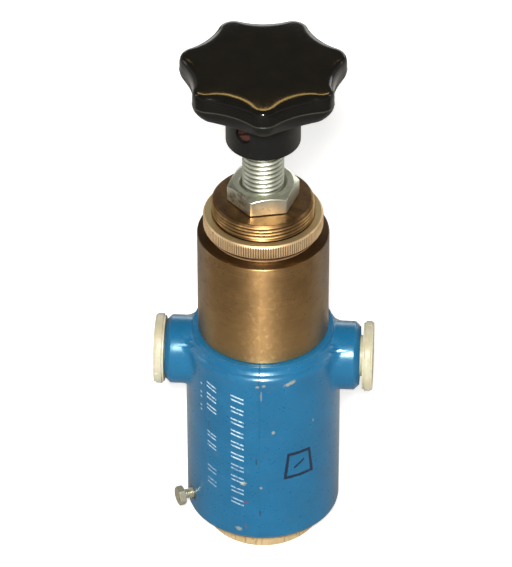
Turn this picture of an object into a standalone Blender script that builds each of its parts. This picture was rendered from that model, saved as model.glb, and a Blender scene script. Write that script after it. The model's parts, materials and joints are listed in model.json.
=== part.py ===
"""Flow control valve: a round blue body with two side ports, a bronze spring housing and a star knob.

World frame: metres, +Z up along the spindle, origin at the centre of the bottom plug's lower face.
The inlet port points along -X and the outlet port along +X.
"""

import math

import bmesh
import bpy
from mathutils import Matrix, Vector

MM = 0.001
CLEAR = 0.3
# Turns round cutters a little, so that their corners don't line up with those of the piece
CUTTER_PHASE = 0.05

# Valve body
BODY_R = 29.75
BODY_BOTTOM_Z = 10.8
BODY_TOP_Z = 94.8
BODY_TOP_R = 26.9
PORT_Z = 80.6
BOSS_R = 13.25
BOSS_FACE_X = 37.4
BOSS_CHAMFER = 2.0
PORT_BORE_R = 8.33
PORT_BORE_DEPTH = 12.0
OUTLET_DUCT_R = 5.5
INLET_DUCT_R = 4.0
PLUG_BORE_R = 20.0
PLUG_BORE_TOP_Z = 27.0
LOWER_CHAMBER_R = 13.0
LOWER_CHAMBER_TOP_Z = 54.0
SEAT_LIP_R = 9.0
SEAT_LIP_TOP_Z = 55.7
SEAT_POCKET_R = 11.0
SEAT_POCKET_TOP_Z = 62.3
UPPER_CHAMBER_R = 12.5
SPIGOT_BORE_R = 20.8
SPIGOT_BORE_FLOOR_Z = 86.8

# Locking screw of the bottom plug
LOCK_SCREW_AZ = 205.0
LOCK_SCREW_Z = 18.4
LOCK_SCREW_HOLE_R = 2.3
LOCK_SCREW_R = 2.0
LOCK_SCREW_TIP_R = 21.7
LOCK_SCREW_HEAD_R = 33.4
LOCK_SCREW_HEAD_H = 2.8
LOCK_SCREW_FLATS = 7.0

# Bottom plug
PLUG_FLANGE_R = 22.2
PLUG_FLANGE_TOP_Z = 10.5
PLUG_NECK_R = 19.7
PLUG_TOP_Z = 26.0
PLUG_CUP_R = 9.5
PLUG_CUP_FLOOR_Z = 14.0

# Spring housing (bonnet)
BONNET_R = 25.0
BONNET_BOTTOM_Z = 95.1
BONNET_TOP_Z = 139.9
SPIGOT_R = 20.5
SPIGOT_BOTTOM_Z = 87.1
BUSH_BORE_R = 12.0
SPRING_FLOOR_Z = 98.0
SPRING_CHAMBER_R = 17.0
CAP_BORE_R = 19.6
CAP_BORE_FLOOR_Z = 122.0

# Threaded cap and its knurled lock ring
CAP_R = 19.3
CAP_CORE_R = 18.4
CAP_PITCH = 1.5
CAP_BOTTOM_Z = 124.0
CAP_THREAD_Z = 148.3
CAP_TOP_Z = 155.5
CAP_CAVITY_R = 15.6
CAP_CAVITY_TOP_Z = 134.0
SPINDLE_HOLE_R = 8.3
RING_BORE_R = 19.65
RING_NECK_R = 20.6
RING_BOTTOM_Z = 140.2
RING_KNURL_Z0 = 143.4
RING_KNURL_Z1 = 147.9
RING_TOP_Z = 148.7
RING_R = 22.65
RING_KNURL_DEPTH = 0.35
RING_TEETH = 45

# Hexagon locknut
NUT_FLATS = 24.0
NUT_BOTTOM_Z = 155.8
NUT_TOP_Z = 163.0
NUT_CORNER_AZ = 12.6

# Spindle, M16 x 2
SPINDLE_R = 7.9
SPINDLE_CORE_R = 6.9
SPINDLE_PITCH = 2.0
SPINDLE_BOTTOM_Z = 128.0
SPINDLE_THREAD_Z0 = 156.5
SPINDLE_THREAD_Z1 = 182.6
SPINDLE_TOP_Z = 201.5
SPINDLE_CUP_R = 4.35
SPINDLE_CUP_TOP_Z = 132.8

# Star knob
KNOB_LOBES = 7
KNOB_LOBE_AZ = 273.5
KNOB_HUB_R = 14.0
KNOB_HUB_BOTTOM_Z = 182.2
KNOB_SKIRT_Z = 203.5
KNOB_PARTING_Z = 210.0
KNOB_TOP_Z = 217.2
KNOB_BORE_R = 8.2
KNOB_BORE_TOP_Z = 201.9
INSERT_R = 10.5
INSERT_BOTTOM_Z = 181.9
INSERT_TOP_Z = 197.5
GRUB_AZ = 240.5
GRUB_Z = 192.0
GRUB_R = 2.9
GRUB_HOLE_R = 3.2
GRUB_TIP_R = 8.3
GRUB_HEAD_R = 12.6

# Throttle, springs and compensator
STEM_R = 6.0
THROTTLE_R = 9.5
THROTTLE_Z0 = 63.2
THROTTLE_Z1 = 71.0
THROTTLE_TOP_Z = 75.0
STEM_SHOULDER_Z = 118.0
STEM_PIN_R = 4.0
STEM_TOP_Z = 124.2
SPRING_PLATE_R = 15.0
SPRING_PLATE_Z0 = 118.3
SPRING_PLATE_Z1 = 122.0
BALL_R = 4.0
BALL_Z = 128.5
RETURN_SPRING_R = 13.2
RETURN_SPRING_WIRE = 2.2
RETURN_SPRING_TURNS = 3.5
SEAT_R = 10.7
SEAT_BORE_R = 7.0
SEAT_Z0 = 56.0
SEAT_Z1 = 62.0
PISTON_R = 12.7
PISTON_Z0 = 36.0
PISTON_CROWN_Z = 46.0
PISTON_Z1 = 49.0
PISTON_ORIFICE_R = 2.5
COMP_SPRING_R = 7.5
COMP_SPRING_WIRE = 2.0
COMP_SPRING_TURNS = 7.0

# Protective port plugs
CAP_PLUG_FLANGE_R = 13.5
CAP_PLUG_FLANGE = 3.9
CAP_PLUG_STEM_R = 7.9
CAP_PLUG_STEM = 9.0
INLET_PLUG_GAP = 0.3
OUTLET_PLUG_GAP = 1.1

# Name: colour, roughness, metallic
MATERIALS = {
    "blue_paint": ((0.035, 0.19, 0.39), 0.35, 0.0),
    "bronze": ((0.36, 0.22, 0.09), 0.38, 1.0),
    "dark_bronze": ((0.20, 0.11, 0.04), 0.42, 1.0),
    "ring_brass": ((0.62, 0.40, 0.20), 0.35, 1.0),
    "plug_brass": ((0.66, 0.50, 0.30), 0.35, 1.0),
    "zinc_steel": ((0.55, 0.55, 0.50), 0.35, 1.0),
    "yellow_zinc": ((0.50, 0.44, 0.26), 0.35, 1.0),
    "bright_steel": ((0.56, 0.57, 0.58), 0.28, 1.0),
    "spring_steel": ((0.30, 0.30, 0.31), 0.40, 1.0),
    "rusty_steel": ((0.16, 0.06, 0.035), 0.75, 0.4),
    "black_phenolic": ((0.012, 0.012, 0.012), 0.18, 0.0),
    "ivory_plastic": ((0.88, 0.83, 0.58), 0.40, 0.0),
    "black_rubber": ((0.02, 0.02, 0.02), 0.60, 0.0),
}


def clear_scene():
    for obj in list(bpy.data.objects):
        bpy.data.objects.remove(obj, do_unlink=True)


def material(name):
    """The Principled material of this name, made on its first use."""
    found = bpy.data.materials.get(name)
    if found:
        return found
    colour, roughness, metallic = MATERIALS[name]
    made = bpy.data.materials.new(name)
    made.use_nodes = True
    shader = made.node_tree.nodes["Principled BSDF"]
    shader.inputs["Base Color"].default_value = (*colour, 1.0)
    shader.inputs["Roughness"].default_value = roughness
    shader.inputs["Metallic"].default_value = metallic
    return made


def solid(name, points, faces, finish, smooth=True):
    """An object from points in millimetres, its faces turned outwards."""
    mesh = bpy.data.meshes.new(name)
    mesh.from_pydata([Vector(p) * MM for p in points], [], faces)
    work = bmesh.new()
    work.from_mesh(mesh)
    bmesh.ops.recalc_face_normals(work, faces=work.faces)
    work.to_mesh(mesh)
    work.free()
    if smooth:
        for polygon in mesh.polygons:
            polygon.use_smooth = True
        mesh.set_sharp_from_angle(angle=math.radians(35))
    if finish:
        mesh.materials.append(material(finish))
    obj = bpy.data.objects.new(name, mesh)
    bpy.context.scene.collection.objects.link(obj)
    return obj


def ring_loft(rings, closed):
    """Points and faces that join rings of equal length; a one-point ring is a pole."""
    points = []
    starts = []
    for ring in rings:
        starts.append(len(points))
        points.extend(ring)
    faces = []
    pairs = list(zip(range(len(rings)), range(1, len(rings))))
    if closed:
        pairs.append((len(rings) - 1, 0))
    for low, high in pairs:
        a, b = starts[low], starts[high]
        size_a, size_b = len(rings[low]), len(rings[high])
        size = max(size_a, size_b)
        for i in range(size):
            j = (i + 1) % size
            if size_a == 1:
                faces.append((a, b + j, b + i))
            elif size_b == 1:
                faces.append((a + i, a + j, b))
            else:
                faces.append((a + i, a + j, b + j, b + i))
    return points, faces


def circle(radius, z, segments, phase=0.0):
    if radius < 1e-6:
        return [(0.0, 0.0, z)]
    turn = 2 * math.pi / segments
    return [
        (radius * math.cos(turn * i + phase), radius * math.sin(turn * i + phase), z)
        for i in range(segments)
    ]


def lathe(name, profile, finish, segments=32, closed=False, phase=0.0, smooth=True):
    """A solid of revolution about Z. An open profile starts and ends on the axis."""
    rings = [circle(r, z, segments, phase) for r, z in profile]
    points, faces = ring_loft(rings, closed)
    return solid(name, points, faces, finish, smooth)


def tube(name, inner, outer, z0, z1, finish, segments=32):
    profile = [(inner, z0), (outer, z0), (outer, z1), (inner, z1)]
    return lathe(name, profile, finish, segments, closed=True)


def cutter(obj):
    """Keeps a Boolean operand out of the render and out of the nodes."""
    obj.hide_render = True
    obj.display_type = "WIRE"
    return obj


def rod_cutter(name, radius, z0, z1, segments=24):
    profile = [(0, z0), (radius, z0), (radius, z1), (0, z1)]
    return cutter(lathe(name, profile, None, segments, phase=CUTTER_PHASE))


def boolean(target, tool, operation):
    modifier = target.modifiers.new(tool.name, "BOOLEAN")
    modifier.operation = operation
    modifier.solver = "EXACT"
    modifier.object = tool


def aim(obj, origin, direction):
    """Moves the object's origin to a point in millimetres and turns its +Z along the direction."""
    obj.rotation_mode = "QUATERNION"
    obj.rotation_quaternion = Vector(direction).to_track_quat("Z", "Y")
    obj.location = Vector(origin) * MM


def radial(azimuth):
    angle = math.radians(azimuth)
    return Vector((math.cos(angle), math.sin(angle), 0.0))


def o_ring(name, mean_r, cord, z, segments=16, sides=6):
    profile = [
        (
            mean_r + 0.5 * cord * math.cos(2 * math.pi * k / sides),
            z + 0.5 * cord * math.sin(2 * math.pi * k / sides),
        )
        for k in range(sides)
    ]
    return lathe(name, profile, "black_rubber", segments, closed=True)


def helical_sweep(section, turns, pitch, z0, per_turn, fade=0.0):
    """Sweeps (radius, dz) corners along a right-hand helix; fade sinks both ends inwards."""
    steps = int(round(turns * per_turn))
    points = []
    for i in range(steps + 1):
        angle = 2 * math.pi * i / per_turn
        height = z0 + pitch * i / per_turn
        edge = min(i, steps - i) / (0.5 * per_turn)
        sink = fade * max(0.0, 1.0 - edge)
        for radius, dz in section:
            reach = radius - sink
            points.append((reach * math.cos(angle), reach * math.sin(angle), height + dz))
    count = len(section)
    faces = []
    for i in range(steps):
        for k in range(count):
            n = (k + 1) % count
            a, b = i * count, (i + 1) * count
            faces.append((a + k, a + n, b + n, b + k))
    faces.append(tuple(range(count - 1, -1, -1)))
    faces.append(tuple(steps * count + k for k in range(count)))
    return points, faces


def thread_ridge(name, core, crest, pitch, z0, z1, per_turn):
    """A V thread that is joined to a plain core of radius `core`."""
    depth = crest - core
    root = 0.46 * pitch
    section = [(core - 0.35, -root), (crest, 0.0), (core - 0.35, root)]
    turns = (z1 - z0 - 2 * root) / pitch
    points, faces = helical_sweep(
        section, turns, pitch, z0 + root, per_turn, fade=depth + 0.1
    )
    return cutter(solid(name, points, faces, None))


def coil_spring(name, mean_r, wire, turns, z0, z1, per_turn, sides=6):
    """A round-wire spring whose wire ends just inside z0 and z1."""
    half = 0.5 * wire
    pitch = (z1 - z0 - wire) / turns
    section = [
        (
            mean_r + half * math.cos(2 * math.pi * (k + 0.5) / sides),
            half * math.sin(2 * math.pi * (k + 0.5) / sides),
        )
        for k in range(sides)
    ]
    points, faces = helical_sweep(section, turns, pitch, z0 + half, per_turn)
    return solid(name, points, faces, "spring_steel")


def hexagon_prism(name, flats, z0, z1, finish, azimuth=0.0):
    radius = flats / math.sqrt(3)
    profile = [(0, z0), (radius, z0), (radius, z1), (0, z1)]
    return lathe(name, profile, finish, 6, phase=math.radians(azimuth))


def port_boss(name, side):
    """A chamfered boss along X with a flared root, joined to the body later."""
    profile = [
        (0, 18.0),
        (12.6, 18.0),
        (BOSS_R, 26.5),
        (14.3, 28.4),
        (13.6, 30.3),
        (BOSS_R, 32.4),
        (BOSS_R, BOSS_FACE_X - BOSS_CHAMFER),
        (BOSS_R - BOSS_CHAMFER, BOSS_FACE_X),
        (0, BOSS_FACE_X),
    ]
    boss = cutter(lathe(name, profile, None, 26))
    aim(boss, (0, 0, PORT_Z), (side, 0, 0))
    return boss


def body_cavity():
    """The stack of bores along the body's axis, as one cutter."""
    profile = [
        (0, BODY_BOTTOM_Z - 1.0),
        (PLUG_BORE_R, BODY_BOTTOM_Z - 1.0),
        (PLUG_BORE_R, PLUG_BORE_TOP_Z),
        (LOWER_CHAMBER_R, PLUG_BORE_TOP_Z),
        (LOWER_CHAMBER_R, LOWER_CHAMBER_TOP_Z),
        (SEAT_LIP_R, LOWER_CHAMBER_TOP_Z),
        (SEAT_LIP_R, SEAT_LIP_TOP_Z),
        (SEAT_POCKET_R, SEAT_LIP_TOP_Z),
        (SEAT_POCKET_R, SEAT_POCKET_TOP_Z),
        (UPPER_CHAMBER_R, SEAT_POCKET_TOP_Z),
        (UPPER_CHAMBER_R, SPIGOT_BORE_FLOOR_Z),
        (SPIGOT_BORE_R, SPIGOT_BORE_FLOOR_Z),
        (SPIGOT_BORE_R, BODY_TOP_Z + 1.0),
        (0, BODY_TOP_Z + 1.0),
    ]
    return cutter(lathe("cut_body_cavity", profile, None, 24, phase=CUTTER_PHASE))


def valve_body():
    profile = [
        (0, BODY_BOTTOM_Z),
        (BODY_R - 0.65, BODY_BOTTOM_Z),
        (BODY_R, BODY_BOTTOM_Z + 0.7),
        (BODY_R, 87.6),
        (29.45, 89.6),
        (28.75, 91.3),
        (27.9, 92.6),
        (27.4, 93.3),
        (27.3, 94.2),
        (BODY_TOP_R, BODY_TOP_Z),
        (0, BODY_TOP_Z),
    ]
    body = lathe("valve_body", profile, "blue_paint", 40)
    boolean(body, port_boss("join_inlet_boss", -1), "UNION")
    boolean(body, port_boss("join_outlet_boss", 1), "UNION")
    boolean(body, body_cavity(), "DIFFERENCE")
    bore_floor = BOSS_FACE_X - PORT_BORE_DEPTH
    mouth = BOSS_FACE_X + 1.0
    inlet_port = rod_cutter("cut_inlet_port", PORT_BORE_R, bore_floor, mouth)
    aim(inlet_port, (0, 0, PORT_Z), (-1, 0, 0))
    boolean(body, inlet_port, "DIFFERENCE")
    outlet_profile = [
        (0, 8.0),
        (OUTLET_DUCT_R, 8.0),
        (OUTLET_DUCT_R, bore_floor),
        (PORT_BORE_R, bore_floor),
        (PORT_BORE_R, mouth),
        (0, mouth),
    ]
    outlet_port = cutter(
        lathe("cut_outlet_port", outlet_profile, None, 24, phase=CUTTER_PHASE)
    )
    aim(outlet_port, (0, 0, PORT_Z), (1, 0, 0))
    boolean(body, outlet_port, "DIFFERENCE")
    start = Vector((-27.0, 0.0, PORT_Z - 1.0))
    end = Vector((-11.0, 0.0, 48.5))
    inlet = rod_cutter("cut_inlet_duct", INLET_DUCT_R, 0.0, (end - start).length, 16)
    aim(inlet, start, end - start)
    boolean(body, inlet, "DIFFERENCE")
    hole = rod_cutter("cut_lock_screw_hole", LOCK_SCREW_HOLE_R, 18.0, 32.0, 16)
    aim(hole, (0, 0, LOCK_SCREW_Z), radial(LOCK_SCREW_AZ))
    boolean(body, hole, "DIFFERENCE")


def bottom_plug():
    profile = [
        (0, 0),
        (PLUG_FLANGE_R - 0.6, 0),
        (PLUG_FLANGE_R, 0.6),
        (PLUG_FLANGE_R, PLUG_FLANGE_TOP_Z),
        (PLUG_NECK_R, PLUG_FLANGE_TOP_Z),
        (PLUG_NECK_R, 21.6),
        (16.9, 21.6),
        (16.9, 24.4),
        (PLUG_NECK_R, 24.4),
        (PLUG_NECK_R - 0.4, PLUG_TOP_Z),
        (PLUG_CUP_R, PLUG_TOP_Z),
        (PLUG_CUP_R, PLUG_CUP_FLOOR_Z),
        (0, PLUG_CUP_FLOOR_Z),
    ]
    plug = lathe("bottom_plug", profile, "plug_brass", 32)
    for side, label in ((-1, "a"), (1, "b")):
        hole = rod_cutter("cut_spanner_hole_" + label, 2.5, -1.0, 5.0, 12)
        hole.location = Vector((0, side * 14.0, 0)) * MM
        boolean(plug, hole, "DIFFERENCE")
    o_ring("plug_seal", 18.5, 2.0, 23.0)


def spring_bonnet():
    profile = [
        (BUSH_BORE_R, SPIGOT_BOTTOM_Z),
        (SPIGOT_R, SPIGOT_BOTTOM_Z),
        (SPIGOT_R, 89.6),
        (17.9, 89.6),
        (17.9, 92.4),
        (SPIGOT_R, 92.4),
        (SPIGOT_R, BONNET_BOTTOM_Z),
        (BONNET_R, BONNET_BOTTOM_Z),
        (BONNET_R, BONNET_TOP_Z - 0.3),
        (BONNET_R - 0.3, BONNET_TOP_Z),
        (CAP_BORE_R, BONNET_TOP_Z),
        (CAP_BORE_R, CAP_BORE_FLOOR_Z),
        (SPRING_CHAMBER_R, CAP_BORE_FLOOR_Z),
        (SPRING_CHAMBER_R, SPRING_FLOOR_Z),
        (BUSH_BORE_R, SPRING_FLOOR_Z),
    ]
    lathe("spring_bonnet", profile, "bronze", 36, closed=True)
    o_ring("bonnet_seal", 19.3, 1.7, 91.0)


def bonnet_cap():
    profile = [
        (CAP_CAVITY_R, CAP_BOTTOM_Z),
        (CAP_R, CAP_BOTTOM_Z),
        (CAP_R, CAP_THREAD_Z),
        (CAP_CORE_R, CAP_THREAD_Z + 0.4),
        (CAP_CORE_R, CAP_TOP_Z),
        (SPINDLE_HOLE_R + 0.6, CAP_TOP_Z),
        (SPINDLE_HOLE_R, CAP_TOP_Z - 0.6),
        (SPINDLE_HOLE_R, CAP_CAVITY_TOP_Z),
        (CAP_CAVITY_R, CAP_CAVITY_TOP_Z),
    ]
    cap = lathe("bonnet_cap", profile, "dark_bronze", 36, closed=True)
    ridge = thread_ridge(
        "join_cap_thread",
        CAP_CORE_R,
        CAP_R,
        CAP_PITCH,
        CAP_THREAD_Z - 0.2,
        CAP_TOP_Z - 0.1,
        24,
    )
    boolean(cap, ridge, "UNION")


def lock_ring():
    """A ring with straight knurling: the knurled rows alternate between crest and root."""
    count = 2 * RING_TEETH
    root = RING_R - RING_KNURL_DEPTH

    def knurled(z):
        ring = []
        for i in range(count):
            radius = RING_R if i % 2 else root
            angle = 2 * math.pi * i / count
            ring.append((radius * math.cos(angle), radius * math.sin(angle), z))
        return ring

    rings = [
        circle(RING_BORE_R, RING_BOTTOM_Z, count),
        circle(RING_NECK_R, RING_BOTTOM_Z, count),
        circle(RING_NECK_R, 142.4, count),
        knurled(RING_KNURL_Z0),
        knurled(RING_KNURL_Z1),
        circle(21.7, RING_TOP_Z, count),
        circle(RING_BORE_R, RING_TOP_Z, count),
    ]
    points, faces = ring_loft(rings, True)
    solid("lock_ring", points, faces, "ring_brass")


def spindle_locknut():
    nut = hexagon_prism(
        "spindle_locknut", NUT_FLATS, NUT_BOTTOM_Z, NUT_TOP_Z, "zinc_steel", NUT_CORNER_AZ
    )
    corner = NUT_FLATS / math.sqrt(3) + 0.4
    inner = 0.5 * NUT_FLATS - 0.4
    drop = (corner - inner) * math.tan(math.radians(30))
    profile = [
        (0, NUT_BOTTOM_Z - 1.0),
        (corner, NUT_BOTTOM_Z - 1.0),
        (corner, NUT_TOP_Z - drop),
        (inner, NUT_TOP_Z + 0.01),
        (0, NUT_TOP_Z + 0.01),
    ]
    cone = cutter(lathe("trim_nut_corners", profile, None, 36))
    boolean(nut, cone, "INTERSECT")
    middle = 0.5 * (NUT_BOTTOM_Z + NUT_TOP_Z)
    reach = 0.5 * (NUT_TOP_Z - NUT_BOTTOM_Z)
    flare = [
        (0, middle - reach - 0.5),
        (SPINDLE_HOLE_R + 1.4, middle - reach - 0.5),
        (SPINDLE_HOLE_R, middle - reach + 0.9),
        (SPINDLE_HOLE_R, middle + reach - 0.9),
        (SPINDLE_HOLE_R + 1.4, middle + reach + 0.5),
        (0, middle + reach + 0.5),
    ]
    bore = cutter(lathe("cut_nut_bore", flare, None, 32))
    boolean(nut, bore, "DIFFERENCE")


def spindle():
    profile = [
        (0, SPINDLE_CUP_TOP_Z),
        (SPINDLE_CUP_R, SPINDLE_CUP_TOP_Z),
        (SPINDLE_CUP_R, SPINDLE_BOTTOM_Z),
        (SPINDLE_R - 0.8, SPINDLE_BOTTOM_Z),
        (SPINDLE_R, SPINDLE_BOTTOM_Z + 0.8),
        (SPINDLE_R, SPINDLE_THREAD_Z0),
        (SPINDLE_CORE_R, SPINDLE_THREAD_Z0 + 0.5),
        (SPINDLE_CORE_R, SPINDLE_THREAD_Z1 - 0.5),
        (SPINDLE_R, SPINDLE_THREAD_Z1),
        (SPINDLE_R, SPINDLE_TOP_Z - 0.8),
        (SPINDLE_R - 0.8, SPINDLE_TOP_Z),
        (0, SPINDLE_TOP_Z),
    ]
    rod = lathe("spindle", profile, "zinc_steel", 18)
    ridge = thread_ridge(
        "join_spindle_thread",
        SPINDLE_CORE_R,
        SPINDLE_R,
        SPINDLE_PITCH,
        SPINDLE_THREAD_Z0,
        SPINDLE_THREAD_Z1,
        14,
    )
    boolean(rod, ridge, "UNION")


def lobed_radius(angle, centre_r, tip_r, valley_r):
    """Radius at an angle from a lobe's axis: a round tip, then a concave arc down to the valley."""
    half = math.pi / KNOB_LOBES
    a = abs((angle + half) % (2 * half) - half)
    mid = centre_r * math.cos(half)
    gap = centre_r * math.sin(half)
    depth = mid - valley_r
    arc = (gap * gap + depth * depth - tip_r * tip_r) / (2.0 * (tip_r + depth))
    far = valley_r + arc
    arc_x = far * math.cos(half)
    arc_y = far * math.sin(half)
    share = tip_r / (tip_r + arc)
    join_x = centre_r + (arc_x - centre_r) * share
    join_y = arc_y * share
    if a <= math.atan2(join_y, join_x):
        return centre_r * math.cos(a) + math.sqrt(
            tip_r**2 - (centre_r * math.sin(a)) ** 2
        )
    b = half - a
    return far * math.cos(b) - math.sqrt(arc**2 - (far * math.sin(b)) ** 2)


def lobed_ring(z, centre_r, tip_r, valley_r, per_lobe):
    count = KNOB_LOBES * per_lobe
    ring = []
    for i in range(count):
        turn = 2 * math.pi * i / count
        radius = lobed_radius(turn, centre_r, tip_r, valley_r)
        angle = turn + math.radians(KNOB_LOBE_AZ)
        ring.append((radius * math.cos(angle), radius * math.sin(angle), z))
    return ring


def star_knob():
    per_lobe = 10
    count = KNOB_LOBES * per_lobe
    phase = math.radians(KNOB_LOBE_AZ)
    rings = [
        circle(0, KNOB_HUB_BOTTOM_Z, count),
        circle(KNOB_HUB_R - 0.5, KNOB_HUB_BOTTOM_Z, count, phase),
        circle(KNOB_HUB_R, KNOB_HUB_BOTTOM_Z + 0.6, count, phase),
        circle(KNOB_HUB_R, KNOB_SKIRT_Z, count, phase),
        lobed_ring(KNOB_SKIRT_Z, 23.0, 5.0, 25.2, per_lobe),
        lobed_ring(KNOB_PARTING_Z, 25.5, 6.0, 27.2, per_lobe),
        lobed_ring(213.6, 25.5, 5.4, 26.7, per_lobe),
        lobed_ring(215.7, 25.5, 4.0, 25.2, per_lobe),
        lobed_ring(216.5, 25.5, 2.7, 23.4, per_lobe),
        circle(13.0, 217.0, count, phase),
        circle(0, KNOB_TOP_Z, count),
    ]
    points, faces = ring_loft(rings, False)
    knob = solid("star_knob", points, faces, "black_phenolic")
    profile = [
        (0, KNOB_HUB_BOTTOM_Z - 1.0),
        (INSERT_R + CLEAR, KNOB_HUB_BOTTOM_Z - 1.0),
        (INSERT_R + CLEAR, INSERT_TOP_Z + CLEAR),
        (KNOB_BORE_R, INSERT_TOP_Z + CLEAR),
        (KNOB_BORE_R, KNOB_BORE_TOP_Z),
        (0, KNOB_BORE_TOP_Z),
    ]
    boolean(knob, cutter(lathe("cut_knob_bore", profile, None, 24)), "DIFFERENCE")
    hole = rod_cutter("cut_knob_grub_hole", GRUB_HOLE_R, 7.0, 16.0, 16)
    aim(hole, (0, 0, GRUB_Z), radial(GRUB_AZ))
    boolean(knob, hole, "DIFFERENCE")


def knob_insert():
    bush = tube(
        "knob_insert", KNOB_BORE_R, INSERT_R, INSERT_BOTTOM_Z, INSERT_TOP_Z, "plug_brass", 24
    )
    hole = rod_cutter("cut_insert_grub_hole", GRUB_HOLE_R, 6.0, 16.0, 16)
    aim(hole, (0, 0, GRUB_Z), radial(GRUB_AZ))
    boolean(bush, hole, "DIFFERENCE")


def knob_grub_screw():
    length = GRUB_HEAD_R - GRUB_TIP_R
    profile = [
        (0, 0),
        (GRUB_R - 0.8, 0),
        (GRUB_R, 0.8),
        (GRUB_R, length),
        (0, length),
    ]
    screw = lathe("knob_grub_screw", profile, "rusty_steel", 16)
    aim(screw, radial(GRUB_AZ) * GRUB_TIP_R + Vector((0, 0, GRUB_Z)), radial(GRUB_AZ))
    slot_points = [
        (x, y, z) for z in (length - 1.2, length + 1.0) for y in (-0.5, 0.5) for x in (-4.0, 4.0)
    ]
    slot_faces = [
        (0, 1, 3, 2),
        (4, 6, 7, 5),
        (0, 4, 5, 1),
        (2, 3, 7, 6),
        (0, 2, 6, 4),
        (1, 5, 7, 3),
    ]
    slot = cutter(solid("cut_grub_slot", slot_points, slot_faces, None, smooth=False))
    slot.matrix_world = Matrix.LocRotScale(
        screw.location, screw.rotation_quaternion, None
    ) @ Matrix.Rotation(math.radians(25), 4, "Z")
    boolean(screw, slot, "DIFFERENCE")


def port_plug(name, side, gap):
    """A push-in plastic plug: a stepped flange, a hollow tapered stem and a recess in the outer face."""
    outer = gap + CAP_PLUG_FLANGE
    profile = [
        (0, -CAP_PLUG_STEM + 2.0),
        (5.6, -CAP_PLUG_STEM + 2.0),
        (5.6, -CAP_PLUG_STEM),
        (CAP_PLUG_STEM_R - 0.6, -CAP_PLUG_STEM),
        (CAP_PLUG_STEM_R, -CAP_PLUG_STEM + 1.5),
        (CAP_PLUG_STEM_R, 0.2),
        (CAP_PLUG_STEM_R, gap),
        (12.8, gap),
        (12.8, gap + 0.8),
        (CAP_PLUG_FLANGE_R, gap + 0.8),
        (CAP_PLUG_FLANGE_R, outer - 0.7),
        (13.1, outer - 0.7),
        (13.1, outer),
        (11.0, outer),
        (10.6, outer - 1.2),
        (6.2, outer - 1.2),
        (6.0, -CAP_PLUG_STEM + 4.0),
        (0, -CAP_PLUG_STEM + 4.0),
    ]
    plug = lathe(name, profile, "ivory_plastic", 24)
    aim(plug, (side * BOSS_FACE_X, 0, PORT_Z), (side, 0, 0))


def plug_lock_screw():
    """A small hexagon-head screw, its origin on its own axis at the shank's tip."""
    shank = LOCK_SCREW_HEAD_R - LOCK_SCREW_TIP_R
    top = shank + LOCK_SCREW_HEAD_H
    across = LOCK_SCREW_FLATS / math.sqrt(3)
    tip = [circle(0, 0, 12), circle(LOCK_SCREW_R - 0.5, 0, 12)]
    body = [circle(LOCK_SCREW_R, 0.5, 12), circle(LOCK_SCREW_R, shank, 12)]

    def hexagon(z, scale):
        """Twelve points on a hexagon: its corners and the middles of its sides."""
        ring = []
        for i in range(12):
            reach = across if i % 2 == 0 else 0.5 * LOCK_SCREW_FLATS
            angle = math.pi * i / 6
            ring.append((scale * reach * math.cos(angle), scale * reach * math.sin(angle), z))
        return ring

    head = [
        hexagon(shank, 1.0),
        hexagon(top - 0.5, 1.0),
        circle(0.5 * LOCK_SCREW_FLATS - 0.25, top, 12),
        circle(0, top, 12),
    ]
    points, faces = ring_loft(tip + body + head, False)
    screw = solid("plug_lock_screw", points, faces, "yellow_zinc")
    origin = radial(LOCK_SCREW_AZ) * LOCK_SCREW_TIP_R + Vector((0, 0, LOCK_SCREW_Z))
    aim(screw, origin, radial(LOCK_SCREW_AZ))


def seat_ring():
    profile = [
        (SEAT_BORE_R, SEAT_Z0),
        (SEAT_R, SEAT_Z0),
        (SEAT_R, 58.0),
        (8.6, 58.0),
        (8.6, 60.0),
        (SEAT_R, 60.0),
        (SEAT_R, SEAT_Z1),
        (SEAT_BORE_R, SEAT_Z1),
    ]
    lathe("seat_ring", profile, "bright_steel", 24, closed=True)
    o_ring("seat_seal", 9.6, 1.3, 59.0)


def guide_bush():
    profile = [
        (STEM_R + CLEAR, 87.4),
        (BUSH_BORE_R - CLEAR, 87.4),
        (BUSH_BORE_R - CLEAR, 97.7),
        (STEM_R + CLEAR, 97.7),
        (STEM_R + CLEAR, 93.6),
        (8.4, 93.6),
        (8.4, 91.4),
        (STEM_R + CLEAR, 91.4),
    ]
    lathe("guide_bush", profile, "bronze", 20, closed=True)
    o_ring("rod_seal", 7.25, 1.5, 92.5)


def throttle_plunger():
    profile = [
        (0, THROTTLE_Z0),
        (3.0, THROTTLE_Z0),
        (THROTTLE_R, THROTTLE_Z1),
        (THROTTLE_R, THROTTLE_TOP_Z),
        (STEM_R, THROTTLE_TOP_Z + 1.5),
        (STEM_R, STEM_SHOULDER_Z),
        (STEM_PIN_R, STEM_SHOULDER_Z),
        (STEM_PIN_R, 122.2),
        (3.4, 122.2),
        (3.4, 123.2),
        (STEM_PIN_R, 123.2),
        (STEM_PIN_R, STEM_TOP_Z),
        (0, STEM_TOP_Z),
    ]
    lathe("throttle_plunger", profile, "bright_steel", 20)


def spring_plate():
    tube(
        "spring_plate",
        STEM_PIN_R + CLEAR,
        SPRING_PLATE_R,
        SPRING_PLATE_Z0,
        SPRING_PLATE_Z1,
        "zinc_steel",
        28,
    )


def thrust_ball():
    steps = 8
    profile = []
    for i in range(steps + 1):
        angle = math.pi * i / steps - math.pi / 2
        profile.append((BALL_R * math.cos(angle), BALL_Z + BALL_R * math.sin(angle)))
    profile[0] = (0, BALL_Z - BALL_R)
    profile[-1] = (0, BALL_Z + BALL_R)
    lathe("thrust_ball", profile, "bright_steel", 14)


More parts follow.
